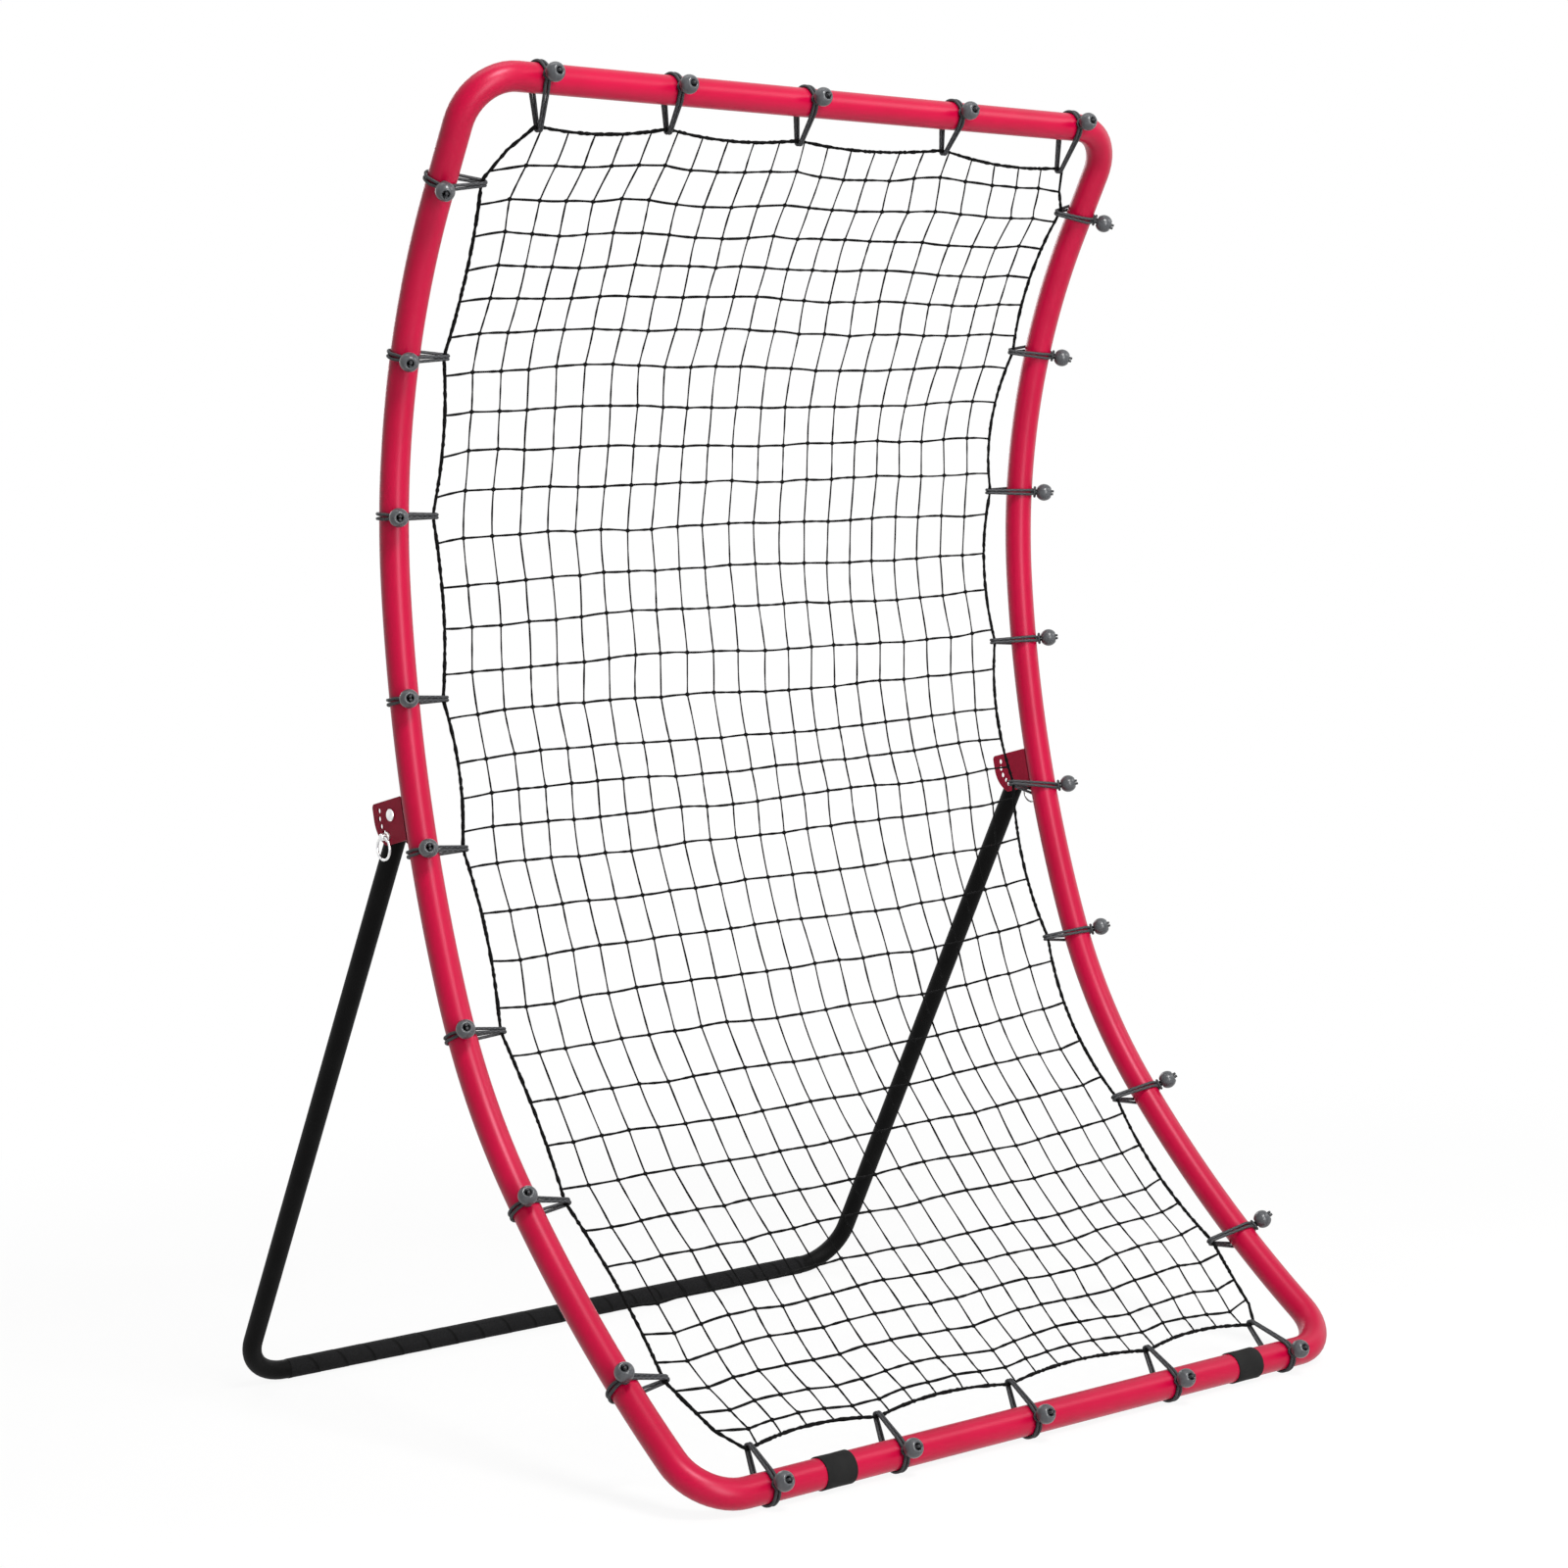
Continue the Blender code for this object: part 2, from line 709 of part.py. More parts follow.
def border_places():
    """The border cord's run as (x, station), anticlockwise from the bottom left corner."""
    low, high = net_edge_stations()
    half = net_half()
    total = profile_length()
    rows = range(1, NET_ROWS)
    nodes = {net_node(0, r)[1]: net_node(0, r)[0] for r in rows}
    left = {s: side_edge(-1, s, LEFT_SLIPS) for s in held_ends(side_loop_stations(LEFT_SLIPS))} | nodes
    nodes = {net_node(NET_COLUMNS, r)[1]: net_node(NET_COLUMNS, r)[0] for r in rows}
    right = {s: side_edge(1, s, RIGHT_SLIPS) for s in held_ends(side_loop_stations(RIGHT_SLIPS))} | nodes
    bottom = {x: bottom_edge(x) for x in held_ends(bottom_hooks())}
    bottom |= {net_node(c, 0)[0]: net_node(c, 0)[1] for c in range(1, NET_COLUMNS)}
    top = {x: total - top_edge(x) for x in held_ends(top_hooks())}
    top |= {net_node(c, NET_ROWS)[0]: net_node(c, NET_ROWS)[1] for c in range(1, NET_COLUMNS)}
    run = [(-half, low)]
    run += [(x, bottom[x]) for x in sorted(bottom)]
    run.append((half, low))
    run += [(right[s], s) for s in sorted(right)]
    run.append((half, high))
    run += [(x, top[x]) for x in sorted(top, reverse=True)]
    run.append((-half, high))
    run += [(left[s], s) for s in sorted(left, reverse=True)]
    return run


def make_border(root):
    bm = bmesh.new()
    points = [on_net(x, station) for x, station in border_places()]
    sweep(bm, points, BORDER_CORD / 2, 5, side_frame(0)[2], closed=True)
    return add_piece("net_border_cord", bm, CORD_BLACK, root)


# Hinge brackets, bolts and pins

def bracket_seat():
    """Pivot centre between the plates, the tube's up direction and the rear direction."""
    centre, up, front = side_frame(BRACKET_STATION)
    rear = -front
    reach = FRAME_R + GAP + BRACKET_STEEL + LEG_FRONT_GAP + STAND_R
    return centre + rear * reach, up, rear, reach


def channel_half():
    """Half the clear width between the plates."""
    return STAND_R + LEG_SIDE_GAP


def hole_angles():
    """Pin first, then the spare holes, each from straight down towards the rear."""
    first = LEG_LEAN - math.asin(PIN_AHEAD / HOLE_RING)
    return [first + HOLE_STEP * k for k in range(HOLE_COUNT)]


def bracket_outline(pivot, up, rear, reach):
    """Square at the front, one rounded top corner, and an arc about the pivot below."""
    nose = -(reach - BRACKET_NOSE)
    corner = BRACKET_ROUND
    points = [(nose, -BRACKET_BOTTOM), (nose, BRACKET_TOP), (BRACKET_REAR - corner, BRACKET_TOP)]
    for k in (1, 2, 3):
        a = math.pi / 2 * k / 3
        points.append((BRACKET_REAR - corner + corner * math.sin(a), BRACKET_TOP - corner + corner * math.cos(a)))
    sweep_down = math.asin(min(1, BRACKET_BOTTOM / BRACKET_REAR))
    for k in range(7):
        a = sweep_down * k / 6
        points.append((BRACKET_REAR * math.cos(a), -BRACKET_REAR * math.sin(a)))
    return [(p.y, p.z) for p in (pivot + rear * n + up * t for n, t in points)]


def bore_along_x(centre, radius, low_x, high_x, sides=8):
    bm = bmesh.new()
    outline = ((0, 0), (0, around(radius, sides)), (high_x - low_x, around(radius, sides)), (high_x - low_x, 0))
    turn(bm, Vector((low_x, centre.y, centre.z)), Vector((1, 0, 0)), Vector((0, 0, 1)), outline, sides)
    return bm


def make_bracket(name, hand, root):
    pivot, up, rear, reach = bracket_seat()
    middle = hand * HALF_WIDTH
    inner = channel_half()
    outer = inner + BRACKET_STEEL
    bm = bmesh.new()
    prism(bm, bracket_outline(pivot, up, rear, reach), middle - outer, middle + outer)
    bracket = add_piece(name, bm, RED_DARK, root)

    channel = bmesh.new()
    web = -(STAND_R + LEG_FRONT_GAP)
    far = 2 * BRACKET_REAR
    corners = ((web, -far), (web, far), (far, far), (far, -far))
    prism(channel, [(p.y, p.z) for p in (pivot + rear * n + up * t for n, t in corners)],
          middle - inner, middle + inner)
    add_cutter(f"{name}_channel", channel, root, bracket)

    cope = bmesh.new()
    span = 2 * BRACKET_BOTTOM
    ends = (BRACKET_STATION - span, BRACKET_STATION + span)
    stations = [ends[0]] + [facet[0] for facet in FACETS if ends[0] < facet[0] < ends[1]] + [ends[1]]
    offset = Vector((middle, 0, 0))
    sweep(cope, [side_frame(s)[0] + offset for s in stations], around(FRAME_R + GAP, 18), 18, -rear)
    add_cutter(f"{name}_cope", cope, root, bracket)

    # The bolt goes through the outer plate and seats in a blind socket in the inner one
    outside = middle + hand * 2 * outer
    inside = middle - hand * (inner + BOLT_SOCKET)
    socket = bore_along_x(pivot, BOLT_SHANK / 2 + GAP, min(outside, inside), max(outside, inside), 12)
    add_cutter(f"{name}_pivot_hole", socket, root, bracket)
    for number, angle in enumerate(hole_angles(), 1):
        hole = bore_along_x(pivot + yz(angle, HOLE_RING), PIN_SHANK / 2 + GAP, middle - 2 * outer, middle + 2 * outer)
        add_cutter(f"{name}_hole_{number}", hole, root, bracket)
    return bracket


def make_bolt(name, hand, root):
    """Low round head outside, plain shank, tail in the inner plate's socket."""
    pivot = bracket_seat()[0]
    inner = channel_half()
    outer = inner + BRACKET_STEEL
    seat = outer + GAP
    tail = -(inner + BOLT_SOCKET - GAP)
    head, shank = BOLT_HEAD / 2, BOLT_SHANK / 2
    edge = BOLT_HEAD_HEIGHT * 0.35
    outline = ((tail, 0), (tail, shank), (seat, shank), (seat, head), (seat + BOLT_HEAD_HEIGHT - edge, head),
               (seat + BOLT_HEAD_HEIGHT, head - edge), (seat + BOLT_HEAD_HEIGHT, 0))
    bm = bmesh.new()
    turn(bm, pivot + Vector((hand * HALF_WIDTH, 0, 0)), Vector((hand, 0, 0)), Vector((0, 0, 1)), outline, 12)
    return add_piece(name, bm, ZINC, root)


def make_bush(name, hand, root):
    """Sleeve that the bolt clamps between the plates, and that the leg turns on."""
    pivot = bracket_seat()[0]
    half = channel_half() - GAP
    bore = around(BOLT_SHANK / 2 + GAP, 12)
    outside = bore + BUSH_WALL
    outline = ((-half, bore), (-half, outside), (half, outside), (half, bore))
    bm = bmesh.new()
    turn(bm, pivot + Vector((hand * HALF_WIDTH, 0, 0)), Vector((hand, 0, 0)), Vector((0, 0, 1)), outline, 12)
    return add_piece(name, bm, ZINC, root)


def pin_axis(hand):
    """Point on the lock pin's axis at the outer plate's outside face."""
    pivot = bracket_seat()[0]
    outer = channel_half() + BRACKET_STEEL
    return pivot + yz(hole_angles()[0], HOLE_RING) + Vector((hand * (HALF_WIDTH + outer), 0, 0))


def ring_hinge(hand):
    """Centre of the cross hole in the lock pin's stub."""
    along = GAP + PIN_COLLAR_HEIGHT + PIN_STUB_LENGTH / 2
    return pin_axis(hand) + Vector((hand * along, 0, 0))


def ring_sag():
    """How far the ring's wire bows over half the stub's width."""
    return RING_RADIUS - math.sqrt(RING_RADIUS ** 2 - (PIN_STUB / 2) ** 2)


def make_lock_pin(name, hand, root):
    start = pin_axis(hand)
    width = 2 * (channel_half() + BRACKET_STEEL)
    shank, collar, stub = PIN_SHANK / 2, PIN_COLLAR / 2, PIN_STUB / 2
    tip = -(width + PIN_TAIL)
    seat = GAP
    top = seat + PIN_COLLAR_HEIGHT
    outline = ((tip, 0), (tip, shank * 0.6), (tip + shank * 0.5, shank), (seat, shank), (seat, collar),
               (top, collar), (top, stub), (top + PIN_STUB_LENGTH, stub), (top + PIN_STUB_LENGTH, 0))
    bm = bmesh.new()
    turn(bm, start, Vector((hand, 0, 0)), Vector((0, 0, 1)), outline, 10)
    pin = add_piece(name, bm, ZINC, root, origin=start)
    eye = bmesh.new()
    radius = around(RING_WIRE / 2 + ring_sag() / 2 + GAP, 8)
    hinge = ring_hinge(hand)
    turn(eye, hinge - Vector((0, PIN_STUB, 0)), Vector((0, 1, 0)), Vector((0, 0, 1)),
         ((0, 0), (0, radius), (2 * PIN_STUB, radius), (2 * PIN_STUB, 0)), 8)
    add_cutter(f"{name}_eye", eye, root, pin)
    return pin


def make_pin_ring(name, hand, parent, parent_origin):
    """Closed wire ring, hung through the stub's cross hole."""
    hinge = ring_hinge(hand)
    centre = hinge - Vector((0, 0, RING_RADIUS - ring_sag() / 2))
    steps = 16
    points = [centre + Vector((0, math.sin(2 * math.pi * k / steps), math.cos(2 * math.pi * k / steps))) * RING_RADIUS
              for k in range(steps)]
    bm = bmesh.new()
    sweep(bm, points, RING_WIRE / 2, 6, Vector((1, 0, 0)), closed=True)
    return add_piece(name, bm, ZINC, parent, hinge, parent_origin)


# Stand

def tape_low():
    return STAND_R + GAP + TAPE_THICKNESS


def foot_height():
    """The tape stands on its flat, so the foot tube's centre is one flat above the floor."""
    return tape_low() * math.cos(math.pi / STAND_SIDES)


def leg_length():
    pivot = bracket_seat()[0]
    return (pivot.z - foot_height()) / math.cos(LEG_LEAN)


def foot_centre():
    return bracket_seat()[0] + yz(LEG_LEAN, leg_length())


def foot_stub():
    """Distance from the middle to where a leg's stub meets the foot tube."""
    return HALF_WIDTH - STAND_CORNER - STAND_SPIGOT - GAP


def make_leg(name, hand, pivot_empty):
    """Straight leg, bent at the foot, with a round end, a bush hole and a hooked pin slot."""
    pivot = bracket_seat()[0]
    offset = Vector((hand * HALF_WIDTH, 0, 0))
    inward = Vector((-hand, 0, 0))
    up_leg = -yz(LEG_LEAN)
    foot = foot_centre() + offset
    points = [Vector((hand * foot_stub(), foot.y, foot.z))]
    points += corner_arc(foot, up_leg, inward, STAND_CORNER)
    points.append(pivot + offset + up_leg * LEG_END_ROUND * 1.2)
    bm = bmesh.new()
    bore = around(STAND_R - STAND_WALL, STAND_SIDES)
    sweep(bm, points, STAND_R, STAND_SIDES, Vector((0, 0, 1)), bore)
    leg = add_piece(name, bm, BLACK_PAINT, pivot_empty, pivot, pivot)

    x = hand * HALF_WIDTH
    wide = 2 * STAND_R
    outside = around(BOLT_SHANK / 2 + GAP, 12) + BUSH_WALL
    hole = bore_along_x(Vector((0, 0, 0)), outside + GAP, x - wide, x + wide, 12)
    add_cutter(f"{name}_bush_hole", hole, pivot_empty, leg)

    # A block with a half round mouth trims the end to a round about the pivot
    trim = bmesh.new()
    side = Vector((0, up_leg.z, -up_leg.y))
    block = [side * wide, side * wide + up_leg * wide, side * -wide + up_leg * wide, side * -wide]
    mouth = [side * (LEG_END_ROUND * -math.cos(math.pi * k / 12)) + up_leg * (LEG_END_ROUND * math.sin(math.pi * k / 12))
             for k in range(13)]
    prism(trim, [(p.y, p.z) for p in block + mouth], x - wide, x + wide)
    add_cutter(f"{name}_round_end", trim, pivot_empty, leg)

    # The slot is closed in front of the pin and open behind, so the leg folds with the pin in
    slot = bmesh.new()
    half = PIN_SHANK / 2 + GAP
    at_pin = hole_angles()[0]
    open_angle = LEG_LEAN + math.radians(42)
    outline = [yz(at_pin + (open_angle - at_pin) * k / 5, HOLE_RING + half) for k in range(5, -1, -1)]
    middle = yz(at_pin, HOLE_RING)
    outline += [middle + yz(at_pin + math.pi - math.pi * k / 5, -around(half, 10)) for k in (1, 2, 3, 4)]
    outline += [yz(at_pin + (open_angle - at_pin) * k / 5, HOLE_RING - half) for k in range(6)]
    prism(slot, [(p.y, p.z) for p in outline], x - wide, x + wide)
    add_cutter(f"{name}_pin_slot", slot, pivot_empty, leg)
    return leg


def make_foot_tube(pivot_empty):
    """Straight tube whose drawn ends plug into the legs' stubs."""
    pivot = bracket_seat()[0]
    half = foot_stub() - GAP
    plug = STAND_R - STAND_WALL - GAP
    bore = plug - STAND_WALL
    tip = half + STAND_SPIGOT
    outline = ((-tip, plug), (-half, plug), (-half, STAND_R), (half, STAND_R), (half, plug), (tip, plug),
               (tip, bore), (-tip, bore))
    bm = bmesh.new()
    turn(bm, foot_centre(), Vector((1, 0, 0)), Vector((0, 0, 1)), outline, STAND_SIDES)
    return add_piece("stand_foot_tube", bm, BLACK_PAINT, pivot_empty, pivot, pivot)


def make_grip_tape(pivot_empty):
    """One strip wound along the foot: each turn laps the last with a small step."""
    pivot = bracket_seat()[0]
    centre = foot_centre()
    sides = STAND_SIDES
    half = HALF_WIDTH - STAND_CORNER - TAPE_END
    first = -half + TAPE_END
    pitch = (2 * half - 2 * TAPE_END) / TAPE_TURNS
    low, high = tape_low(), tape_low() + TAPE_STEP
    floor = centre.z - foot_height()
    bm = bmesh.new()

    def point(step, x, radius):
        angle = 2 * math.pi * step / sides + math.pi / sides
        height = centre.z + radius * math.cos(angle)
        return bm.verts.new((x, centre.y - radius * math.sin(angle), max(height, floor)))

    count = TAPE_TURNS * sides
    lower = [point(n, first + pitch * n / sides, low) for n in range(count + 1)]
    raised = [point(n, first + pitch * n / sides + TAPE_STEP, high) for n in range(count - sides + 1)]
    for n in range(count - sides):
        bm.faces.new((raised[n], raised[n + 1], lower[n + 1 + sides], lower[n + sides]))
        bm.faces.new((lower[n], lower[n + 1], raised[n + 1], raised[n]))
    near = [point(n, -half, low) for n in range(sides)]
    far = [point(n, half, low) for n in range(sides)]
    near_bore = [point(n, -half, STAND_R + GAP) for n in range(sides)]
    far_bore = [point(n, half, STAND_R + GAP) for n in range(sides)]
    last = count - sides
    for n in range(sides):
        bm.faces.new((near[n], near[(n + 1) % sides], lower[n + 1], lower[n]))
        bm.faces.new((lower[last + n], lower[last + n + 1], far[(n + 1) % sides], far[n]))
    bm.faces.new((near[0], lower[0], raised[0], lower[sides]))
    bm.faces.new((raised[last], lower[last], far[0], lower[count]))
    skin(bm, near, near_bore)
    skin(bm, far_bore, far)
    skin(bm, near_bore, far_bore)
    return add_piece("foot_grip_tape", bm, TAPE_GREY, pivot_empty, pivot, pivot)


def centre_on_origin(root):
    """Stand the model with the middle of its outline over the origin."""
    bpy.context.view_layer.update()
    depsgraph = bpy.context.evaluated_depsgraph_get()
    reach = []
    for obj in bpy.data.objects:
        if obj.type == "MESH" and not obj.hide_render:
            solid = obj.evaluated_get(depsgraph)
            reach += [(obj.matrix_world @ vertex.co).y for vertex in solid.data.vertices]
    root.location.y = -(min(reach) + max(reach)) / 2
    bpy.context.view_layer.update()


def main():
    clear_scene()
    root = add_empty("rebounder", (0, 0, 0))
    pivot = bracket_seat()[0]
    stand = add_empty("stand_pivot", pivot, root)

    make_rail("frame_bottom_rail", 0, root)
    make_rail("frame_top_rail", profile_length(), root)
    for word, hand, band_inset in (("left", -1, LEFT_BAND_INSET), ("right", 1, RIGHT_BAND_INSET)):
        make_side_tube(f"frame_{word}_side", hand, root)
        make_band(f"{word}_rail_band", hand, band_inset, root)
        make_bracket(f"{word}_hinge_bracket", hand, root)
        make_bolt(f"{word}_pivot_bolt", hand, root)
        make_bush(f"{word}_pivot_bush", hand, root)
        pin = make_lock_pin(f"{word}_lock_pin", hand, root)
        make_pin_ring(f"{word}_pin_ring", hand, pin, pin_axis(hand))
        make_leg(f"stand_{word}_leg", hand, stand)
    make_foot_tube(stand)
    make_grip_tape(stand)

    make_net(root)
    make_border(root)
    for name, hand, slips, turn_to in (("left", -1, LEFT_SLIPS, LEFT_BALL_TURN),
                                       ("right", 1, RIGHT_SLIPS, RIGHT_BALL_TURN)):
        make_bungees(name, side_seats(hand, slips), turn_to, math.pi / 2 - turn_to, NET_INSET, root)
    seats = rail_seats(0, -1, bottom_hooks(), BOTTOM_LEANS)
    make_bungees("bottom", seats, BOTTOM_BALL_TURN, -BOTTOM_LEAN, NET_INSET, root)
    seats = rail_seats(profile_length(), 1, top_hooks(), TOP_LEANS)
    make_bungees("top", seats, TOP_BALL_TURN, math.pi / 2 - TOP_BALL_TURN, TOP_INSET, root)
    centre_on_origin(root)


main()
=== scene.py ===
import math
import random

import bmesh
import bpy
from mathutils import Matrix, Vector


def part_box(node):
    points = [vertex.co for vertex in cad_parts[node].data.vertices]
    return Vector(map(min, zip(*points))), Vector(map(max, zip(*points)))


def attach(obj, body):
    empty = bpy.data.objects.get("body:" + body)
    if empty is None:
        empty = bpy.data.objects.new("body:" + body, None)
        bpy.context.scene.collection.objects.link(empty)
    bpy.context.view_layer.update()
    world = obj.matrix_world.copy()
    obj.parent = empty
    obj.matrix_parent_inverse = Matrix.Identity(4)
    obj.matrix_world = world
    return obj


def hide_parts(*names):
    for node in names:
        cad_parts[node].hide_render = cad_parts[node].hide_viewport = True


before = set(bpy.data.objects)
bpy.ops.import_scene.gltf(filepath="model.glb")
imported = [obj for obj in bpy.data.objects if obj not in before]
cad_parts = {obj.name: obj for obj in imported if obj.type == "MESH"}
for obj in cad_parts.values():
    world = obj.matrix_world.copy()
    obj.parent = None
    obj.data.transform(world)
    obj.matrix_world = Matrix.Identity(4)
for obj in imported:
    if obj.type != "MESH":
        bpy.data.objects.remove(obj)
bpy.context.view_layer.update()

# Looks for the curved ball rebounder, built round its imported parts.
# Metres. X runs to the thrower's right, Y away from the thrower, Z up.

chance = random.Random(11)


def scatter(size):
    return chance.uniform(-size, size)


# The photograph's camera, measured from the frame's own corners
view = {"place": (-2.0267, -2.5529, 0.7401), "ahead": (0.6276, 0.7775, -0.0410),
        "up": (0.0626, 0.0022, 0.9980), "lens": 73.58, "sensor": 36.0, "end": 60}


def setCamera():
    eye = bpy.data.cameras.new("camera")
    eye.lens = view["lens"]
    eye.sensor_width = view["sensor"]
    eye.sensor_fit = "HORIZONTAL"
    eye.clip_end = view["end"]
    stand = bpy.data.objects.new("camera", eye)
    bpy.context.scene.collection.objects.link(stand)
    ahead = Vector(view["ahead"]).normalized()
    right = ahead.cross(Vector(view["up"])).normalized()
    up = right.cross(ahead)
    place = stand.matrix_world.copy()
    for row in range(3):
        place[row][0], place[row][1], place[row][2] = right[row], up[row], -ahead[row]
        place[row][3] = view["place"][row]
    stand.matrix_world = place
    bpy.context.scene.camera = stand


setCamera()
print("camera set")


# Bench habits: pick, start, cut, finish

touching = 0.000002  # points this close are one


def pickOnly(piece):
    bpy.ops.object.select_all(action="DESELECT")
    piece.select_set(True)
    bpy.context.view_layer.objects.active = piece


def startEdit(piece):
    pickOnly(piece)
    bpy.ops.object.mode_set(mode="EDIT")


def endEdit():
    bpy.ops.object.mode_set(mode="OBJECT")


def startFrom(primitive, name, **settings):
    bpy.ops.object.select_all(action="DESELECT")
    primitive(**settings)
    piece = bpy.context.active_object
    piece.name = name
    piece.data.name = name
    return piece


def pickFaces(test):
    bpy.ops.mesh.select_mode(type="FACE")
    bpy.ops.mesh.select_all(action="DESELECT")
    shape = bmesh.from_edit_mesh(bpy.context.edit_object.data)
    for face in shape.faces:
        face.select_set(bool(test(face.calc_center_median(), face.normal)))
    bmesh.update_edit_mesh(bpy.context.edit_object.data)


def pickEdges(test):
    bpy.ops.mesh.select_mode(type="EDGE")
    bpy.ops.mesh.select_all(action="DESELECT")
    shape = bmesh.from_edit_mesh(bpy.context.edit_object.data)
    for edge in shape.edges:
        edge.select_set(bool(test(edge.verts[0].co, edge.verts[1].co)))
    bmesh.update_edit_mesh(bpy.context.edit_object.data)


def useModifier(piece, kind, **settings):
    pickOnly(piece)
    modifier = piece.modifiers.new(kind.lower(), kind)
    for key, value in settings.items():
        setattr(modifier, key, value)
    bpy.ops.object.modifier_apply(modifier=modifier.name)


def cutWith(piece, tool, operation="DIFFERENCE"):
    useModifier(piece, "BOOLEAN", object=tool, operation=operation, solver="EXACT")
    bpy.data.objects.remove(tool, do_unlink=True)


def settle(piece):
    # The place goes into the mesh, and the object stays at the origin
    pickOnly(piece)
    bpy.ops.object.transform_apply(location=True, rotation=True, scale=True)


def mergeDoubles(piece):
    startEdit(piece)
    bpy.ops.mesh.select_all(action="SELECT")
    bpy.ops.mesh.remove_doubles(threshold=touching)
    endEdit()


def closeUp(piece):
    # Merge what meets, close the ends, and turn every face outwards
    startEdit(piece)
    bpy.ops.mesh.select_all(action="SELECT")
    bpy.ops.mesh.remove_doubles(threshold=touching)
    bpy.ops.mesh.fill_holes(sides=0)
    bpy.ops.mesh.select_all(action="SELECT")
    bpy.ops.mesh.normals_make_consistent(inside=False)
    endEdit()


def smooth(piece, degrees=35):
    pickOnly(piece)
    bpy.ops.object.shade_smooth_by_angle(angle=math.radians(degrees))


def copyOf(piece, name):
    twin = piece.copy()
    twin.data = piece.data.copy()
    twin.name = name
    twin.data.name = name
    bpy.context.scene.collection.objects.link(twin)
    return twin


def dress(piece, material, body, slotName, *nodes):
    piece.data.materials.clear()
    piece.data.materials.append(material)
    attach(piece, body)
    if nodes:
        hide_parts(*nodes)
    return piece


def drawTube(name, runs, radius, closed=False, sides=8):
    # Tubes and cords: a curve through (place, swell) points, made a mesh whose UV map runs in metres
    line = bpy.data.curves.new(name, "CURVE")
    line.dimensions = "3D"
    line.bevel_depth = radius
    line.bevel_resolution = (sides - 4) // 2
    for run in runs:
        spline = line.splines.new("POLY")
        spline.points.add(len(run) - 1)
        spline.use_cyclic_u = closed
        for spot, (place, swell) in zip(spline.points, run):
            spot.co = (*place, 1)
            spot.radius = swell
    piece = bpy.data.objects.new(name, line)
    bpy.context.scene.collection.objects.link(piece)
    pickOnly(piece)
    bpy.ops.object.convert(target="MESH")
    piece = bpy.context.active_object
    corners = piece.data.uv_layers.active.data
    start = 0
    for run in runs:
        places = [place for place, swell in run]
        if closed:
            places.append(places[0])
        length = sum((b - a).length for a, b in zip(places, places[1:]))
        count = (len(places) - 1) * sides * 4
        for corner in corners[start:start + count]:
            corner.uv = (corner.uv[0] * length, corner.uv[1])
        start += count
    closeUp(piece)
    smooth(piece, 50)
    return piece


def latheAlongZ(name, outline, sides=48):
    # A ring drawn out and scaled along the outline's (height, radius) steps, as on a lathe
    height, radius = outline[0]
    piece = startFrom(bpy.ops.mesh.primitive_circle_add, name, vertices=sides, radius=radius,
                      location=(0, 0, height), fill_type="NOTHING")
    settle(piece)
    startEdit(piece)
    bpy.ops.mesh.select_mode(type="EDGE")
    bpy.ops.mesh.select_all(action="SELECT")
    for nextHeight, nextRadius in outline[1:]:
        bpy.ops.mesh.extrude_region_move(TRANSFORM_OT_translate={"value": (0, 0, nextHeight - height)})
        scale = nextRadius / radius
        bpy.ops.transform.resize(value=(scale, scale, 1), center_override=(0, 0, nextHeight))
        height, radius = nextHeight, nextRadius
    endEdit()
    closeUp(piece)
    return piece


def pointAlong(piece, direction, place):
    # A piece made along Z is turned to its direction and settled in its place
    piece.rotation_mode = "QUATERNION"
    piece.rotation_quaternion = Vector((0, 0, 1)).rotation_difference(Vector(direction))
    piece.location = place
    settle(piece)


# Materials

def fromHex(code):
    parts = [int(code[i:i + 2], 16) / 255 for i in (1, 3, 5)]
    return tuple(c / 12.92 if c <= 0.04045 else ((c + 0.055) / 1.055) ** 2.4 for c in parts) + (1.0,)


def wire(node, links):
    # A socket takes a value, another node's output, or a node, which stands for its first output
    for socket, value in links.items():
        if isinstance(value, bpy.types.Node):
            value = value.outputs[0]
        if isinstance(value, bpy.types.NodeSocket):
            node.id_data.links.new(value, node.inputs[socket])
        else:
            node.inputs[socket].default_value = value


def addNode(tree, kind, links=None, ramp=(), **settings):
    # One node with its settings and links, and its colour stops if it has any
    node = tree.nodes.new("ShaderNode" + kind)
    for key, value in settings.items():
        setattr(node, key, value)
    for number, (position, code) in enumerate(ramp):
        node.color_ramp.elements[number].position = position
        node.color_ramp.elements[number].color = fromHex(code)
    wire(node, links or {})
    return node


def newMaterial(name, fixed):
    material = bpy.data.materials.new(name)
    material.use_nodes = True
    shader = material.node_tree.nodes["Principled BSDF"]
    wire(shader, fixed)
    return material, material.node_tree, shader


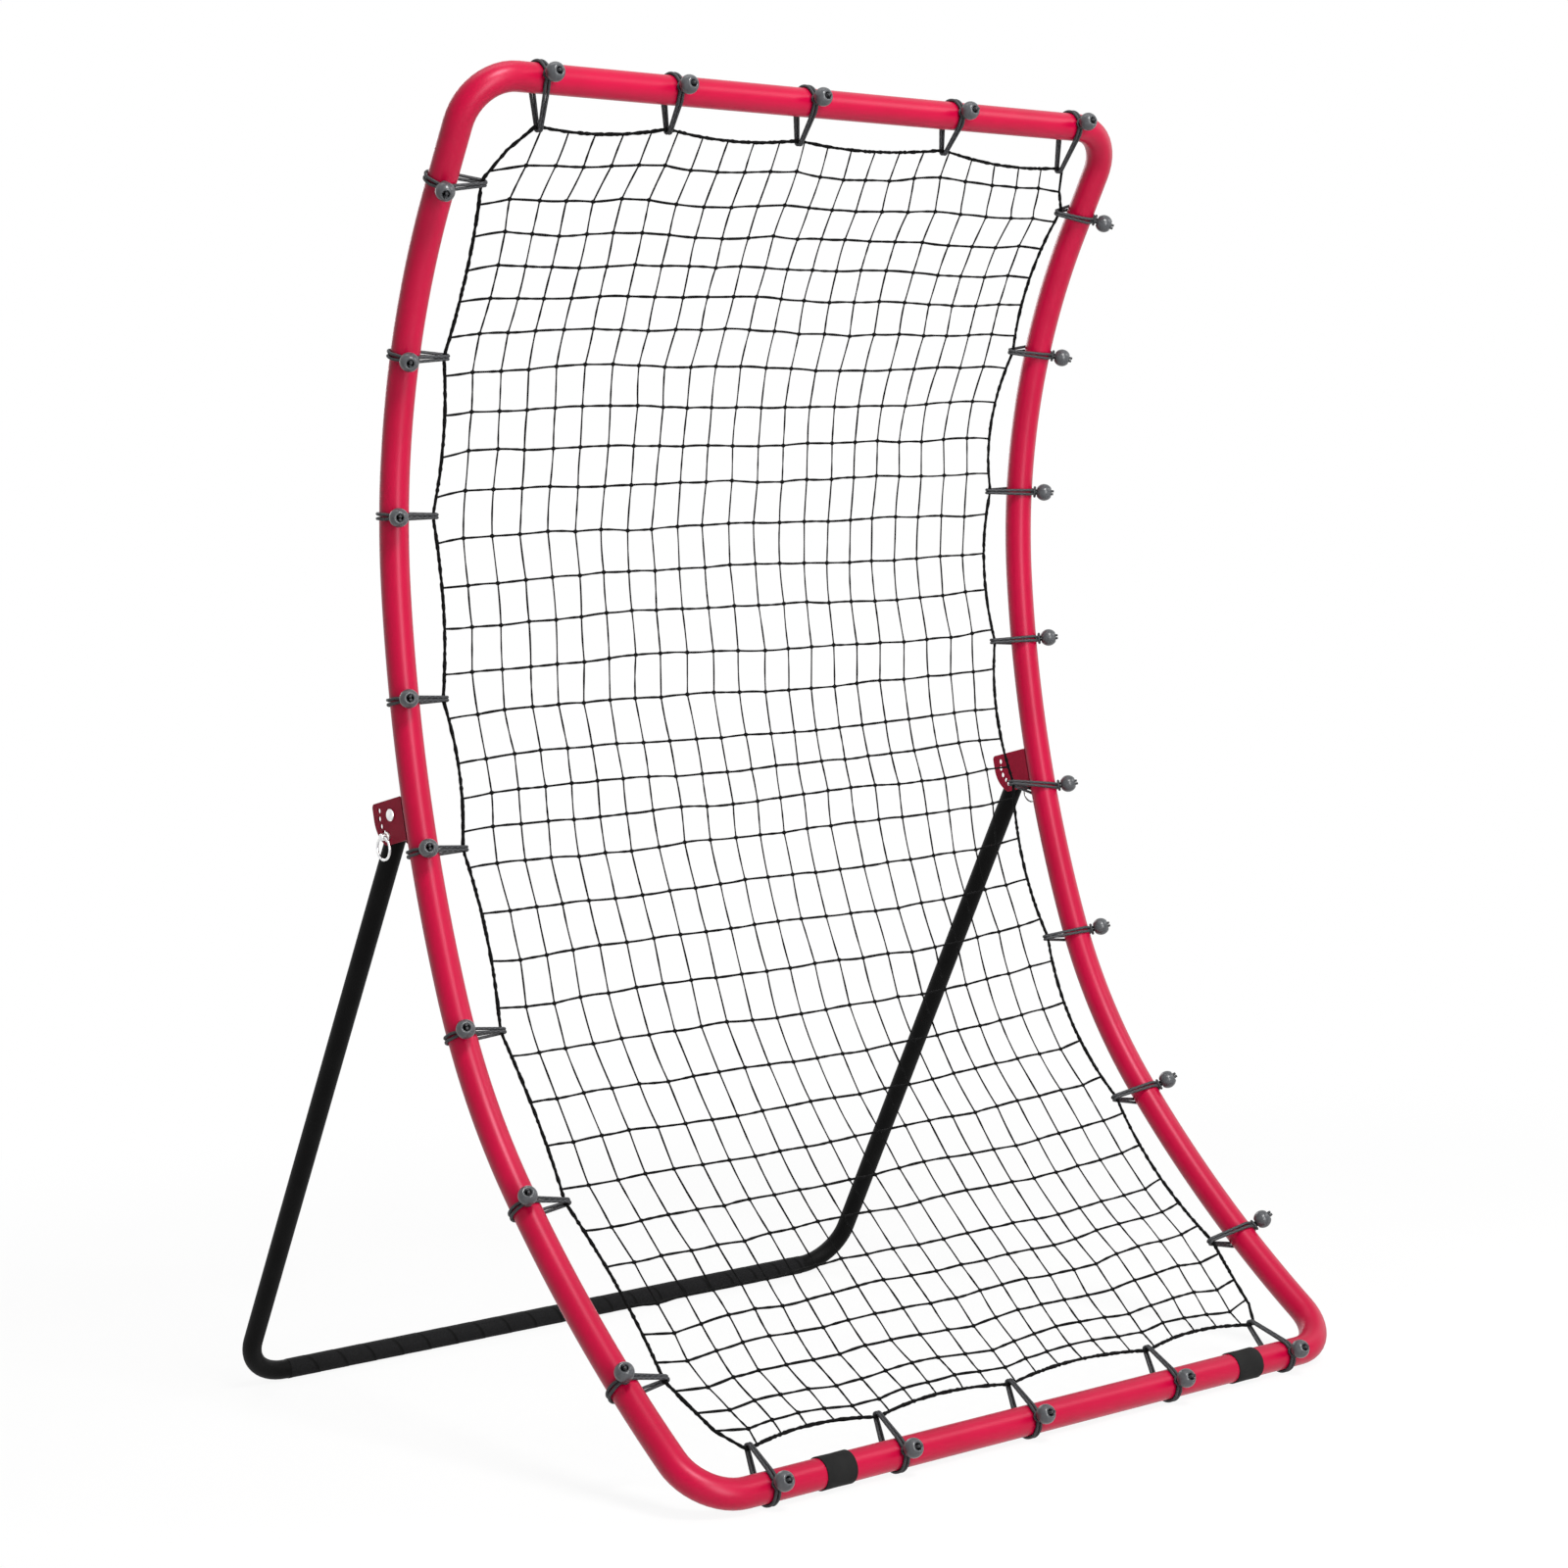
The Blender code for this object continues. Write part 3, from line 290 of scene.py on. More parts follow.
def grained(name, fixed, cloud, tones, grain, relief, gloss=None, cloudyGloss=None, cover=None):
    # Powder, plate, cloth and plastic share this: tones that drift and a fine grain, both fixed to the piece.
    # The relief is a strength and a depth. A cover is an attribute, the values between which it sets in
    # and its colour. The gloss is broken up by the grain, or by the clouds
    material, tree, shader = newMaterial(name, fixed)
    place = addNode(tree, "TexCoord").outputs["Object"]
    drift = addNode(tree, "TexNoise", {"Vector": place, **cloud})
    fine = addNode(tree, "TexNoise", {"Vector": place, **grain}) if grain else drift
    tone = addNode(tree, "ValToRGB", {"Fac": drift}, ((0.35, tones[0]), (0.65, tones[1])))
    if cover:
        attribute, low, high, code = cover
        share = addNode(tree, "Attribute", attribute_name=attribute).outputs["Fac"]
        part = addNode(tree, "MapRange", {"Value": share, "From Min": low, "From Max": high})
        tone = addNode(tree, "MixRGB", {"Fac": part, "Color1": tone, "Color2": fromHex(code)})
    for noise, ends in ((fine, gloss), (drift, cloudyGloss)):
        if ends:
            rough = addNode(tree, "MapRange", {"Value": noise, "To Min": ends[0], "To Max": ends[1]})
            wire(shader, {"Roughness": rough})
    bump = addNode(tree, "Bump", {"Height": fine, "Strength": relief[0], "Distance": relief[1]})
    wire(shader, {"Base Color": tone, "Normal": bump})
    return material


def laidCord(name, fixed, perMetre, perTurn, ways, tones, relief):
    # Strands slant along and round a cord, and where they are laid both ways they cross
    material, tree, shader = newMaterial(name, fixed)
    run = addNode(tree, "SeparateXYZ", {"Vector": addNode(tree, "UVMap")}).outputs
    along = addNode(tree, "Math", {0: run["X"], 1: perMetre}, operation="MULTIPLY")
    around = addNode(tree, "Math", {0: run["Y"], 1: perTurn}, operation="MULTIPLY")
    height = None
    for way in ways:
        phase = addNode(tree, "Math", {0: along, 1: around}, operation=way)
        strand = addNode(tree, "Math", {0: phase, 1: 1.0}, operation="PINGPONG")
        height = addNode(tree, "Math", {0: height, 1: strand}, operation="MULTIPLY") if height else strand
    # The colour follows the strands' height: painted shade in the hollows between them, lighter on their
    # crowns
    tone = addNode(tree, "ValToRGB", {"Fac": height}, tones)
    bump = addNode(tree, "Bump", {"Height": height, "Strength": relief[0], "Distance": relief[1]})
    wire(shader, {"Base Color": tone, "Normal": bump})
    return material


def powderCoatRed():
    # Polyester powder baked on bent steel tube: soft gloss with a faint orange peel,
    # wide soft highlights, and a slightly deeper red where the powder lies thick
    return grained("powderCoatRed", {"Specular IOR Level": 0.32, "Specular Tint": (1.0, 0.62, 0.74, 1.0)},
                   {"Scale": 14.0, "Detail": 2.0}, ("#9A002B", "#A1002F"),  # drifts of 70 mm
                   {"Scale": 420.0, "Detail": 1.0}, (0.02, 0.0003), gloss=(0.35, 0.37))  # waves 2.4 mm apart


def powderCoatWine():
    # The same powder on pressed steel plate: darker wine red, grainy, with a painted highlight that makes the
    # edge bevels paler
    return grained("powderCoatWine", {"Roughness": 0.48, "Specular IOR Level": 0.08},
                   {"Scale": 900.0, "Detail": 3.0}, ("#7E1128", "#911731"),  # powder grain 1.1 mm
                   # the cover paints the edge bevels paler: a painted highlight
                   None, (0.2, 0.0003), cover=("paintedEdgeHighlight", 0, 1, "#AC465F"))


def brightZinc():
    # Bright zinc plate on turned steel: near-white metal, a little cloudy, with fine turning marks
    return grained("brightZinc", {"Metallic": 1.0},
                   {"Scale": 260.0, "Detail": 3.0}, ("#D6D8DC", "#F1F1EE"),  # cloudy spots 4 mm
                   {"Scale": 2600.0, "Detail": 1.0}, (0.08, 0.0002), cloudyGloss=(0.22, 0.36))  # marks 0.4 mm


def powderCoatBlack():
    # Fine-texture black powder on steel tube: matt, with a tight grain that scatters a dull highlight
    return grained("powderCoatBlack", {"Specular IOR Level": 0.08},
                   {"Scale": 30.0, "Detail": 3.0}, ("#020202", "#060606"),  # clouds 33 mm
                   {"Scale": 1100.0, "Detail": 2.0}, (0.22, 0.0003), gloss=(0.50, 0.62))  # grain 0.9 mm


def gripTapeCloth():
    # Wound cloth tape: matt charcoal with rough threads, and painted shade as a near-black band along the
    # overlapping edge of each lap
    return grained("gripTapeCloth", {"Roughness": 0.82, "Specular IOR Level": 0.12},
                   {"Scale": 800.0, "Detail": 2.0}, ("#0C0C0D", "#171718"),  # threads 1.2 mm
                   # the cover paints the last part across the strip near-black: painted shade at each lap's
                   # step
                   None, (0.35, 0.0004), cover=("acrossStrip", 0.88, 0.95, "#010101"))


def mouldedRubber():
    # Moulded black rubber sleeve: dead matt with a faint bloom and a speckled skin
    return grained("mouldedRubber", {"Roughness": 0.78, "Specular IOR Level": 0.16},
                   {"Scale": 45.0, "Detail": 2.0}, ("#0D0D0D", "#151515"),  # bloom 22 mm
                   {"Scale": 700.0, "Detail": 3.0}, (0.25, 0.0003))  # speckle 1.4 mm


def twistedNetCord():
    # Twisted polyester net cord, dyed black: dull, with the slant of its three strands, one each 2.5 mm, and
    # painted shade in the hollows between them
    return laidCord("twistedNetCord", {"Roughness": 0.9, "Specular IOR Level": 0.1}, 400.0, 3.0, ("ADD",),
                    ((0.1, "#010101"), (0.9, "#070708")), (0.6, 0.0003))


def braidedShockCord():
    # Braided polyester sleeve over rubber: charcoal threads crossing in diamonds, one each 1.4 mm and six
    # round the cord, with painted shade in the hollows and a painted highlight where the threads cross on top
    return laidCord("braidedShockCord", {"Roughness": 0.6, "Specular IOR Level": 0.4}, 700.0, 6.0,
                    ("ADD", "SUBTRACT"), ((0.08, "#1C1D1F"), (0.62, "#3A3C40")), (0.7, 0.0004))


def mouldedBall():
    # Injection moulded polypropylene ball: mid grey, satin, with faint flow marks
    return grained("mouldedBall", {"Specular IOR Level": 0.45},
                   {"Scale": 160.0, "Detail": 3.0, "Distortion": 1.2}, ("#393B3E", "#444649"),  # marks 6 mm
                   {"Scale": 1300.0, "Detail": 2.0}, (0.15, 0.0003), gloss=(0.25, 0.33))  # skin 0.8 mm


redPowder = powderCoatRed()
winePowder = powderCoatWine()
zinc = brightZinc()
blackPowder = powderCoatBlack()
tapeCloth = gripTapeCloth()
rubber = mouldedRubber()
netCord = twistedNetCord()
shockCord = braidedShockCord()
ballPlastic = mouldedBall()
print("materials mixed")


# Red tube frame: two bent sides and two straight rails, one closed run of tube

# Each bend is a radius and its degrees, or a straight's length and 0
tubeFrame = {"half": 0.4025, "radius": 0.014, "corner": 0.049, "lean": math.radians(52.1),
             "sides": 32, "steps": 110,
             "bends": ((0.055, 0), (1.260, 13.6), (0.544, 20.6), (1.269, 17.5), (0.644, 33.8), (0.119, 0))}

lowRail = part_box("frame_bottom_rail")
railMiddle = (lowRail[0] + lowRail[1]) / 2
stretches = [(size * math.radians(bend), 1 / size) if bend else (size, 0.0)
             for size, bend in tubeFrame["bends"]]
sideLength = sum(length for length, bend in stretches)


def sideAt(station):
    # Point on the side tube's centreline, the way up the tube and the way to the thrower
    y, z, heading = railMiddle.y, railMiddle.z, tubeFrame["lean"]
    left = station
    for number, (length, bend) in enumerate(stretches):
        run = left if number == len(stretches) - 1 else min(left, length)
        middle = heading - bend * run / 2
        chord = run if bend == 0 else 2 / bend * math.sin(bend * run / 2)
        y += chord * math.sin(middle)
        z += chord * math.cos(middle)
        heading -= bend * run
        left -= run
        if left <= 0:
            break
    up = Vector((0, math.sin(heading), math.cos(heading)))
    return Vector((0, y, z)), up, Vector((0, -up.z, up.y))


def cornerArc(corner, along, inward, radius, steps=12):
    # From the rail round into the side
    centre = corner + along * radius + inward * radius
    turns = [math.pi / 2 * k / steps for k in range(steps + 1)]
    return [centre - along * (radius * math.cos(a)) - inward * (radius * math.sin(a)) for a in turns]


def makeTubeFrame():
    half, corner = tubeFrame["half"], tubeFrame["corner"]
    low, lowUp, _ = sideAt(0)
    high, highUp, _ = sideAt(sideLength)
    count = tubeFrame["steps"]
    sides = [corner + (sideLength - 2 * corner) * k / count for k in range(1, count)]
    run = []
    for hand in (1, -1):
        across = Vector((hand, 0, 0))
        bottom = cornerArc(low + across * half, lowUp, -across, corner)
        top = cornerArc(high + across * half, -highUp, -across, corner)
        middle = [sideAt(s)[0] + across * half for s in sides]
        part = bottom + middle + list(reversed(top))
        run += part if hand > 0 else list(reversed(part))
    piece = drawTube("tubeFrame", [[(place, 1.0) for place in run]], tubeFrame["radius"], True,
                     tubeFrame["sides"])
    dress(piece, redPowder, "frame", "frame_red",
          "frame_left_side", "frame_right_side", "frame_bottom_rail", "frame_top_rail")


makeTubeFrame()
print("tube frame bent")


# Rubber bands on the bottom rail

railBands = {"length": 0.034, "rubber": 0.0011, "bore": 0.01415, "edge": 0.0005, "rounding": 0.3,
             "waist": 0.00025, "shoulder": 0.55, "shoulderDip": 0.0001}


def makeBand(name, node):
    b = railBands
    low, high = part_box(node)
    middle = (low + high) / 2
    half, bore, edge = b["length"] / 2, b["bore"], b["edge"]
    outside = bore + b["rubber"]
    soft, shoulder, dip = edge * b["rounding"], half * b["shoulder"], outside - b["shoulderDip"]
    outline = [(-half, bore), (-half, outside - edge), (-half + soft, outside - soft),
               (-half + edge, outside), (-shoulder, dip), (0, outside - b["waist"]), (shoulder, dip),
               (half - edge, outside), (half - soft, outside - soft), (half, outside - edge), (half, bore),
               (-half, bore)]
    piece = latheAlongZ(name, outline)
    pointAlong(piece, (1, 0, 0), (middle.x, railMiddle.y, railMiddle.z))
    smooth(piece, 50)
    dress(piece, rubber, "frame", "rubber_band", node)


makeBand("leftRailBand", "left_rail_band")
makeBand("rightRailBand", "right_rail_band")
print("rail bands fitted")


# Hinge brackets behind the side tubes, in the pivot's frame: back is away from the tube, up is along it

hinge = {"station": 0.731, "steel": 0.002, "inner": 0.011, "top": 0.015, "bottom": 0.027,
         "rear": 0.0315, "nose": 0.0215, "web": 0.0112, "round": 0.004, "holeRing": 0.022, "hole": 0.0028,
         "holeTurns": (19.83, 39.83, 59.83, 79.83, 99.83), "pivotHole": 0.0043, "socket": 0.0013,
         "cope": 0.01455, "copeLength": 0.12, "cornerCut": 0.06, "channelCut": 0.08, "edge": 0.00035,
         "near": 0.001, "highlightShare": 0.55, "highlightTilt": (0.1, 0.97), "highlightArea": 0.00002}

seat, seatUp, seatFront = sideAt(hinge["station"])
bushLow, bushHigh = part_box("left_pivot_bush")
pivot = Vector((0, (bushLow.y + bushHigh.y) / 2, (bushLow.z + bushHigh.z) / 2))
seatTurn = math.atan2(seatUp.y, seatUp.z)


def blockAt(name, hand, x, back, up):
    # A cube stretched over x, back and up ranges, turned with the side tube
    size = [high - low for low, high in (x, back, up)]
    middle = [(low + high) / 2 for low, high in (x, back, up)]
    across = Vector((hand * tubeFrame["half"] + middle[0], 0, 0))
    block = startFrom(bpy.ops.mesh.primitive_cube_add, name, size=1, scale=size, rotation=(-seatTurn, 0, 0),
                      location=pivot + across - seatFront * middle[1] + seatUp * middle[2])
    settle(block)
    return block


def rodAlongX(name, centre, radius, lowX, highX, sides=40):
    place = ((lowX + highX) / 2, centre.y, centre.z)
    rod = startFrom(bpy.ops.mesh.primitive_cylinder_add, name, vertices=sides, radius=radius,
                    depth=highX - lowX, location=place, rotation=(0, math.pi / 2, 0))
    settle(rod)
    return rod


def fromDown(degrees, length):
    turn = math.radians(degrees)
    return Vector((0, math.sin(turn) * length, -math.cos(turn) * length))


def makeBracket(name, hand, node):
    h = hinge
    outer = h["inner"] + h["steel"]
    x = hand * tubeFrame["half"]
    bracket = blockAt(name, hand, (-outer, outer), (-h["nose"], h["rear"]), (-h["bottom"], h["top"]))
    topRear = pivot - seatFront * h["rear"] + seatUp * h["top"]
    startEdit(bracket)
    pickEdges(lambda a, b: max((Vector((0, v.y, v.z)) - topRear).length for v in (a, b)) < h["near"])
    bpy.ops.mesh.bevel(offset=h["round"], segments=6, affect="EDGES")
    endEdit()
    # The lower rear corner is an arc about the pivot
    reach, length = h["cornerCut"], h["channelCut"]
    corner = blockAt("corner", hand, (-2 * outer, 2 * outer), (0, reach), (-reach, 0))
    cutWith(corner, rodAlongX("arc", pivot, h["rear"], x - 3 * outer, x + 3 * outer, 96))
    cutWith(bracket, corner)
    channel = blockAt("channel", hand, (-h["inner"], h["inner"]), (-h["web"], length), (-length, length))
    cutWith(bracket, channel)
    cope = startFrom(bpy.ops.mesh.primitive_cylinder_add, "cope", vertices=64, radius=h["cope"],
                     depth=h["copeLength"], location=seat + Vector((x, 0, 0)), rotation=(-seatTurn, 0, 0))
    settle(cope)
    cutWith(bracket, cope)
    inside, outside = x - hand * (h["inner"] + h["socket"]), x + hand * 2 * outer
    cutWith(bracket, rodAlongX("bolt", pivot, h["pivotHole"], min(inside, outside), max(inside, outside)))
    for degrees in h["holeTurns"]:
        cutWith(bracket, rodAlongX("hole", pivot + fromDown(degrees, h["holeRing"]), h["hole"],
                                   x - 2 * outer, x + 2 * outer, 32))
    useModifier(bracket, "BEVEL", width=h["edge"], segments=2, limit_method="ANGLE",
                angle_limit=math.radians(50))
    closeUp(bracket)
    smooth(bracket, 40)
    useModifier(bracket, "WEIGHTED_NORMAL", keep_sharp=True)  # the broad plates stay flat beside their bevels
    # The narrow bevels round the plates are painted paler: a painted highlight along the edges
    least, most = h["highlightTilt"]
    highlitBevels = bracket.data.attributes.new("paintedEdgeHighlight", "FLOAT", "FACE")
    for face, share in zip(bracket.data.polygons, highlitBevels.data):
        tilted = least < abs(face.normal.x) < most
        share.value = h["highlightShare"] if tilted and face.area < h["highlightArea"] else 0.0
    dress(bracket, winePowder, "frame", "bracket_red", node)


makeBracket("leftHingeBracket", -1, "left_hinge_bracket")
makeBracket("rightHingeBracket", 1, "right_hinge_bracket")
print("hinge brackets cut")


# Pivot bolts, bushes, lock pins and pull rings

# The turned shapes are (step along, share of the radius), from the tip, the seat or the end
zincParts = {"gap": 0.0003, "chamfer": 0.0003, "sides": 40,
             "boltHead": 0.006, "boltHeight": 0.0032, "boltShank": 0.004,
             "boltTip": ((-0.0118, 0.85), (-0.0112, 1)),
             "boltDome": ((0.0003, 1), (0.0011, 1), (0.0019, 0.93), (0.0026, 0.76)),
             "boltCrown": ((-0.0002, 0.5), (0, 0.22), (0, 0.04)),
             "bushBore": 0.0044, "bushWall": 0.0015, "bushChamfer": 0.0002,
             "pinShank": 0.0025, "tail": 0.0025, "pinTip": ((0, 0.35), (0.0005, 0.75), (0.0014, 1)),
             "collar": 0.00475, "collarHeight": 0.002, "collarChamfer": 0.0004,
             "stub": 0.0035, "stubLength": 0.0068, "eye": 0.00165, "eyeCut": 0.02,
             "stubEnd": ((-0.0012, 1), (-0.0005, 0.88), (0, 0.6), (0, 0.1)),
             "ring": 0.011, "ringWire": 0.0012, "ringDrop": 0.010714, "ringSteps": 64, "weld": 1.12}


def turned(start, radius, steps):
    return [(start + step, radius * share) for step, share in steps]


def makeBolt(name, hand, node):
    p, outer = zincParts, hinge["inner"] + hinge["steel"]
    base, head, shank = outer + p["gap"], p["boltHead"], p["boltShank"]
    outline = turned(0, shank, p["boltTip"]) + [(base, shank), (base, head - p["chamfer"])]
    outline += turned(base, head, p["boltDome"]) + turned(base + p["boltHeight"], head, p["boltCrown"])
    piece = latheAlongZ(name, outline, p["sides"])
    pointAlong(piece, (hand, 0, 0), pivot + Vector((hand * tubeFrame["half"], 0, 0)))
    smooth(piece, 35)
    dress(piece, zinc, "frame", "zinc_steel", node)


def makeBush(name, node):
    p = zincParts
    low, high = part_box(node)
    half, bore, edge = (high.x - low.x) / 2, p["bushBore"], p["bushChamfer"]
    wall = bore + p["bushWall"]
    outline = [(-half, bore), (-half, wall - edge), (-half + edge, wall), (half - edge, wall),
               (half, wall - edge), (half, bore), (-half, bore)]
    piece = latheAlongZ(name, outline, p["sides"])
    pointAlong(piece, (1, 0, 0), ((low.x + high.x) / 2, pivot.y, pivot.z))
    smooth(piece, 35)
    dress(piece, zinc, "frame", "zinc_steel", node)


def makeLockPin(name, hand, node, body):
    p, outer = zincParts, hinge["inner"] + hinge["steel"]
    across = Vector((hand * (tubeFrame["half"] + outer), 0, 0))
    start = pivot + fromDown(hinge["holeTurns"][0], hinge["holeRing"]) + across
    shank, collar, stub, gap, edge = p["pinShank"], p["collar"], p["stub"], p["gap"], p["collarChamfer"]
    top = gap + p["collarHeight"]
    outline = turned(-(2 * outer + p["tail"]), shank, p["pinTip"])
    outline += [(gap, shank), (gap, collar - p["chamfer"]), (gap + p["chamfer"], collar)]
    outline += [(top - edge, collar), (top, collar - edge), (top, stub)]
    outline += turned(top + p["stubLength"], stub, p["stubEnd"])
    piece = latheAlongZ(name, outline, p["sides"])
    pointAlong(piece, (hand, 0, 0), start)
    hole = start + Vector((hand * (top + p["stubLength"] / 2), 0, 0))
    eye = startFrom(bpy.ops.mesh.primitive_cylinder_add, "eye", vertices=28, radius=p["eye"],
                    depth=p["eyeCut"], location=hole, rotation=(math.pi / 2, 0, 0))
    settle(eye)
    cutWith(piece, eye)
    closeUp(piece)
    smooth(piece, 35)
    dress(piece, zinc, body, "zinc_steel", node)
    return hole


def makePullRing(name, hole, node, body):
    p = zincParts
    centre = hole - Vector((0, 0, p["ringDrop"]))
    steps = p["ringSteps"]
    run = []
    for k in range(steps):
        turn = 2 * math.pi * k / steps
        weld = p["weld"] if k in (steps // 2 - 1, steps // 2) else 1.0  # the butt weld stands slightly proud
        run.append((centre + Vector((0, math.sin(turn), math.cos(turn))) * p["ring"], weld))
    piece = drawTube(name, [run], p["ringWire"], True, 12)
    dress(piece, zinc, body, "zinc_steel", node)


for word, hand in (("left", -1), ("right", 1)):
    makeBolt(f"{word}PivotBolt", hand, f"{word}_pivot_bolt")
    makeBush(f"{word}PivotBush", f"{word}_pivot_bush")
    pinHole = makeLockPin(f"{word}LockPin", hand, f"{word}_lock_pin", f"{word}_pin")
    makePullRing(f"{word}PullRing", pinHole, f"{word}_pin_ring", f"{word}_ring")
print("bolts, pins and rings turned")


# Stand: one bent U of black tube, with the grip tape wound along its foot

standTube = {"radius": 0.010, "wall": 0.0012, "corner": 0.050, "lean": 31.9, "length": 0.69912, "sides": 32,
             "bendSteps": 14, "legSteps": 12, "endRound": 0.0106, "spare": 1.4, "trim": 0.06,
             "trimHeight": 0.03, "mouthCut": 0.05, "sideCut": 0.02, "bushHole": 0.0062, "slot": 0.0028,
             "slotEnd": 42, "slotSteps": 16}
gripTape = {"half": 0.3495, "turns": 20, "thickness": 0.0002, "lift": 0.00024, "bore": 0.01006, "lap": 1.15,
            "columns": 6, "before": 1.5, "sides": 32, "near": 1e-4, "level": 1e-6}

foot = pivot + fromDown(standTube["lean"], standTube["length"])
upLeg = -fromDown(standTube["lean"], 1)
legSide = Vector((0, upLeg.z, -upLeg.y))


def makeStand():
    s, half = standTube, tubeFrame["half"]
    run = []
    for hand in (-1, 1):
        across = Vector((hand, 0, 0))
        bend = cornerArc(foot + across * half, upLeg, -across, s["corner"], s["bendSteps"])
        top = pivot + across * half + upLeg * (s["endRound"] * s["spare"])
        part = bend + [bend[-1].lerp(top, k / s["legSteps"]) for k in range(1, s["legSteps"] + 1)]
        run += list(reversed(part)) if hand < 0 else [foot] + part
    piece = drawTube("standTube", [[(place, 1.0) for place in run]], s["radius"], False, s["sides"])
    startEdit(piece)
    pickFaces(lambda centre, normal: normal.dot(upLeg) > 0.99 and centre.z > pivot.z)
    bpy.ops.mesh.delete(type="ONLY_FACE")
    endEdit()
    useModifier(piece, "SOLIDIFY", thickness=s["wall"], offset=-1.0)
    for hand in (-1, 1):
        x = hand * half
        # The end is rounded about the pivot, bored for the bush and slotted for the lock pin
        trim = startFrom(bpy.ops.mesh.primitive_cube_add, "trim", size=1,
                         scale=(s["trim"], s["trim"], s["trimHeight"]),
                         location=pivot + Vector((x, 0, 0)) + upLeg * (s["trimHeight"] / 2),
                         rotation=(math.radians(s["lean"]), 0, 0))
        settle(trim)
        cutWith(trim, rodAlongX("mouth", pivot, s["endRound"], x - s["mouthCut"], x + s["mouthCut"], 64))
        cutWith(piece, trim)
        low, high = x - s["sideCut"], x + s["sideCut"]
        cutWith(piece, rodAlongX("bush", pivot, s["bushHole"], low, high))
        first, last = hinge["holeTurns"][0], s["lean"] + s["slotEnd"]
        count = s["slotSteps"]
        for k in range(count + 1):
            at = pivot + fromDown(first + (last - first) * k / count, hinge["holeRing"])
            cutWith(piece, rodAlongX("slot", at, s["slot"], low, high, 24))
    mergeDoubles(piece)
    smooth(piece, 40)
    dress(piece, blackPowder, "stand", "stand_black", "stand_left_leg", "stand_right_leg", "stand_foot_tube")


makeStand()
print("stand bent and bored")


def makeGripTape():
    g = gripTape
    pitch = 2 * g["half"] / g["turns"]
    width = pitch * g["lap"]
    start = -g["half"] - g["before"] * pitch
    strip = startFrom(bpy.ops.mesh.primitive_grid_add, "footGripTape", x_subdivisions=g["columns"],
                      y_subdivisions=1, size=1)
    across = strip.data.attributes.new("acrossStrip", "FLOAT", "POINT")
    for vertex, share in zip(strip.data.vertices, across.data):
        part = vertex.co.x + 0.5
        share.value = part
        height = g["bore"] + g["lift"] * part + (g["thickness"] if vertex.co.y > 0 else 0)
        vertex.co = Vector((start + width * part, 0, height))
    startEdit(strip)
    pickFaces(lambda centre, normal: True)
    bpy.ops.mesh.delete(type="ONLY_FACE")
    # Only the strip's outline stays
    low, high = start + g["near"], start + width - g["near"]
    pickEdges(lambda a, b: abs(a.x - b.x) < g["level"] and low < a.x < high)
    bpy.ops.mesh.delete(type="EDGE")
    endEdit()
    useModifier(strip, "SCREW", axis="X", angle=math.tau, screw_offset=pitch, iterations=g["turns"] + 2,
                steps=g["sides"], render_steps=g["sides"])
    strip.location = (0, foot.y, foot.z)
    settle(strip)
    startEdit(strip)
    for x, way in ((-g["half"], -1), (g["half"], 1)):
        bpy.ops.mesh.select_all(action="SELECT")
        bpy.ops.mesh.bisect(plane_co=(x, 0, 0), plane_no=(way, 0, 0), clear_outer=True, use_fill=True)
    endEdit()
    closeUp(strip)
    smooth(strip, 40)
    dress(strip, tapeCloth, "stand", "grip_tape", "foot_grip_tape")


makeGripTape()
print("grip tape wound")


# Ball bungees: a doubled shock cord round the tube and the net's border, its ends knotted into a ball

bungee = {"cord": 0.00155, "together": 0.0015, "apart": 0.0022, "tubeReach": 0.01575, "netReach": 0.0035,
          "gathering": 0.55, "wander": 0.0002, "wanderStep": 0.7, "longRun": 0.012, "onRail": 0.5,
          "ball": 0.0092, "flat": 0.0052, "ballReach": 0.0274,
          "rim": ((0.00005, 0.0049), (-0.0002, 0.0038), (-0.0008, 0.0033), (-0.003, 0.003168)),
          "collar": 0.0050, "collarCord": 0.0014, "collarAt": 0.0171, "collarFlat": 0.78,
          "tailFrom": 0.0160, "tailPast": (0.0008, 0.0022), "tailsApart": 0.0016, "tailThin": 0.98,
          "tailTip": 0.8}
# A side's stations are where its loops sit on the tube, and a rail's hooks are where they hold the net
loopSeats = {
    "left": {"turn": 23, "inset": 0.044,
             "stations": (0.1338, 0.33402, 0.51275, 0.69047, 0.8347, 1.0089, 1.16015, 1.33087),
             "leans": (0, 0, 0, 0, 0, 0, 0, 0)},
    "right": {"turn": 42, "inset": 0.044,
              "stations": (0.1523, 0.34302, 0.53575, 0.69997, 0.865, 1.02842, 1.18165, 1.33987),
              "leans": (0, 0, 0, 0.009, 0, 0, 0, 0)},
    "bottom": {"turn": 31, "inset": 0.044, "hooks": (-0.3205, -0.17125, -0.0075, 0.17575, 0.3235),
               "leans": (0.010, 0.011, 0.012, 0.0095, -0.0045)},
    "top": {"turn": 36, "inset": 0.047, "hooks": (-0.3145, -0.168, -0.0075, 0.179, 0.335),
            "leans": (0.016, 0.01025, 0.008, 0.00275, -0.006), "raised": (0, 0.008, 0.007, 0.0095, 0)}}
# The top right corner, stretched most between its two loops
stretched = {"corner": 0.013, "between": 0.0055, "middle": 1.364, "reach": 0.023, "up": (1.05, 1.30),
             "across": (0.12, 0.33)}


def rising(value, low, high):
    part = min(1, max(0, (value - low) / (high - low)))
    return part * part * (3 - 2 * part)


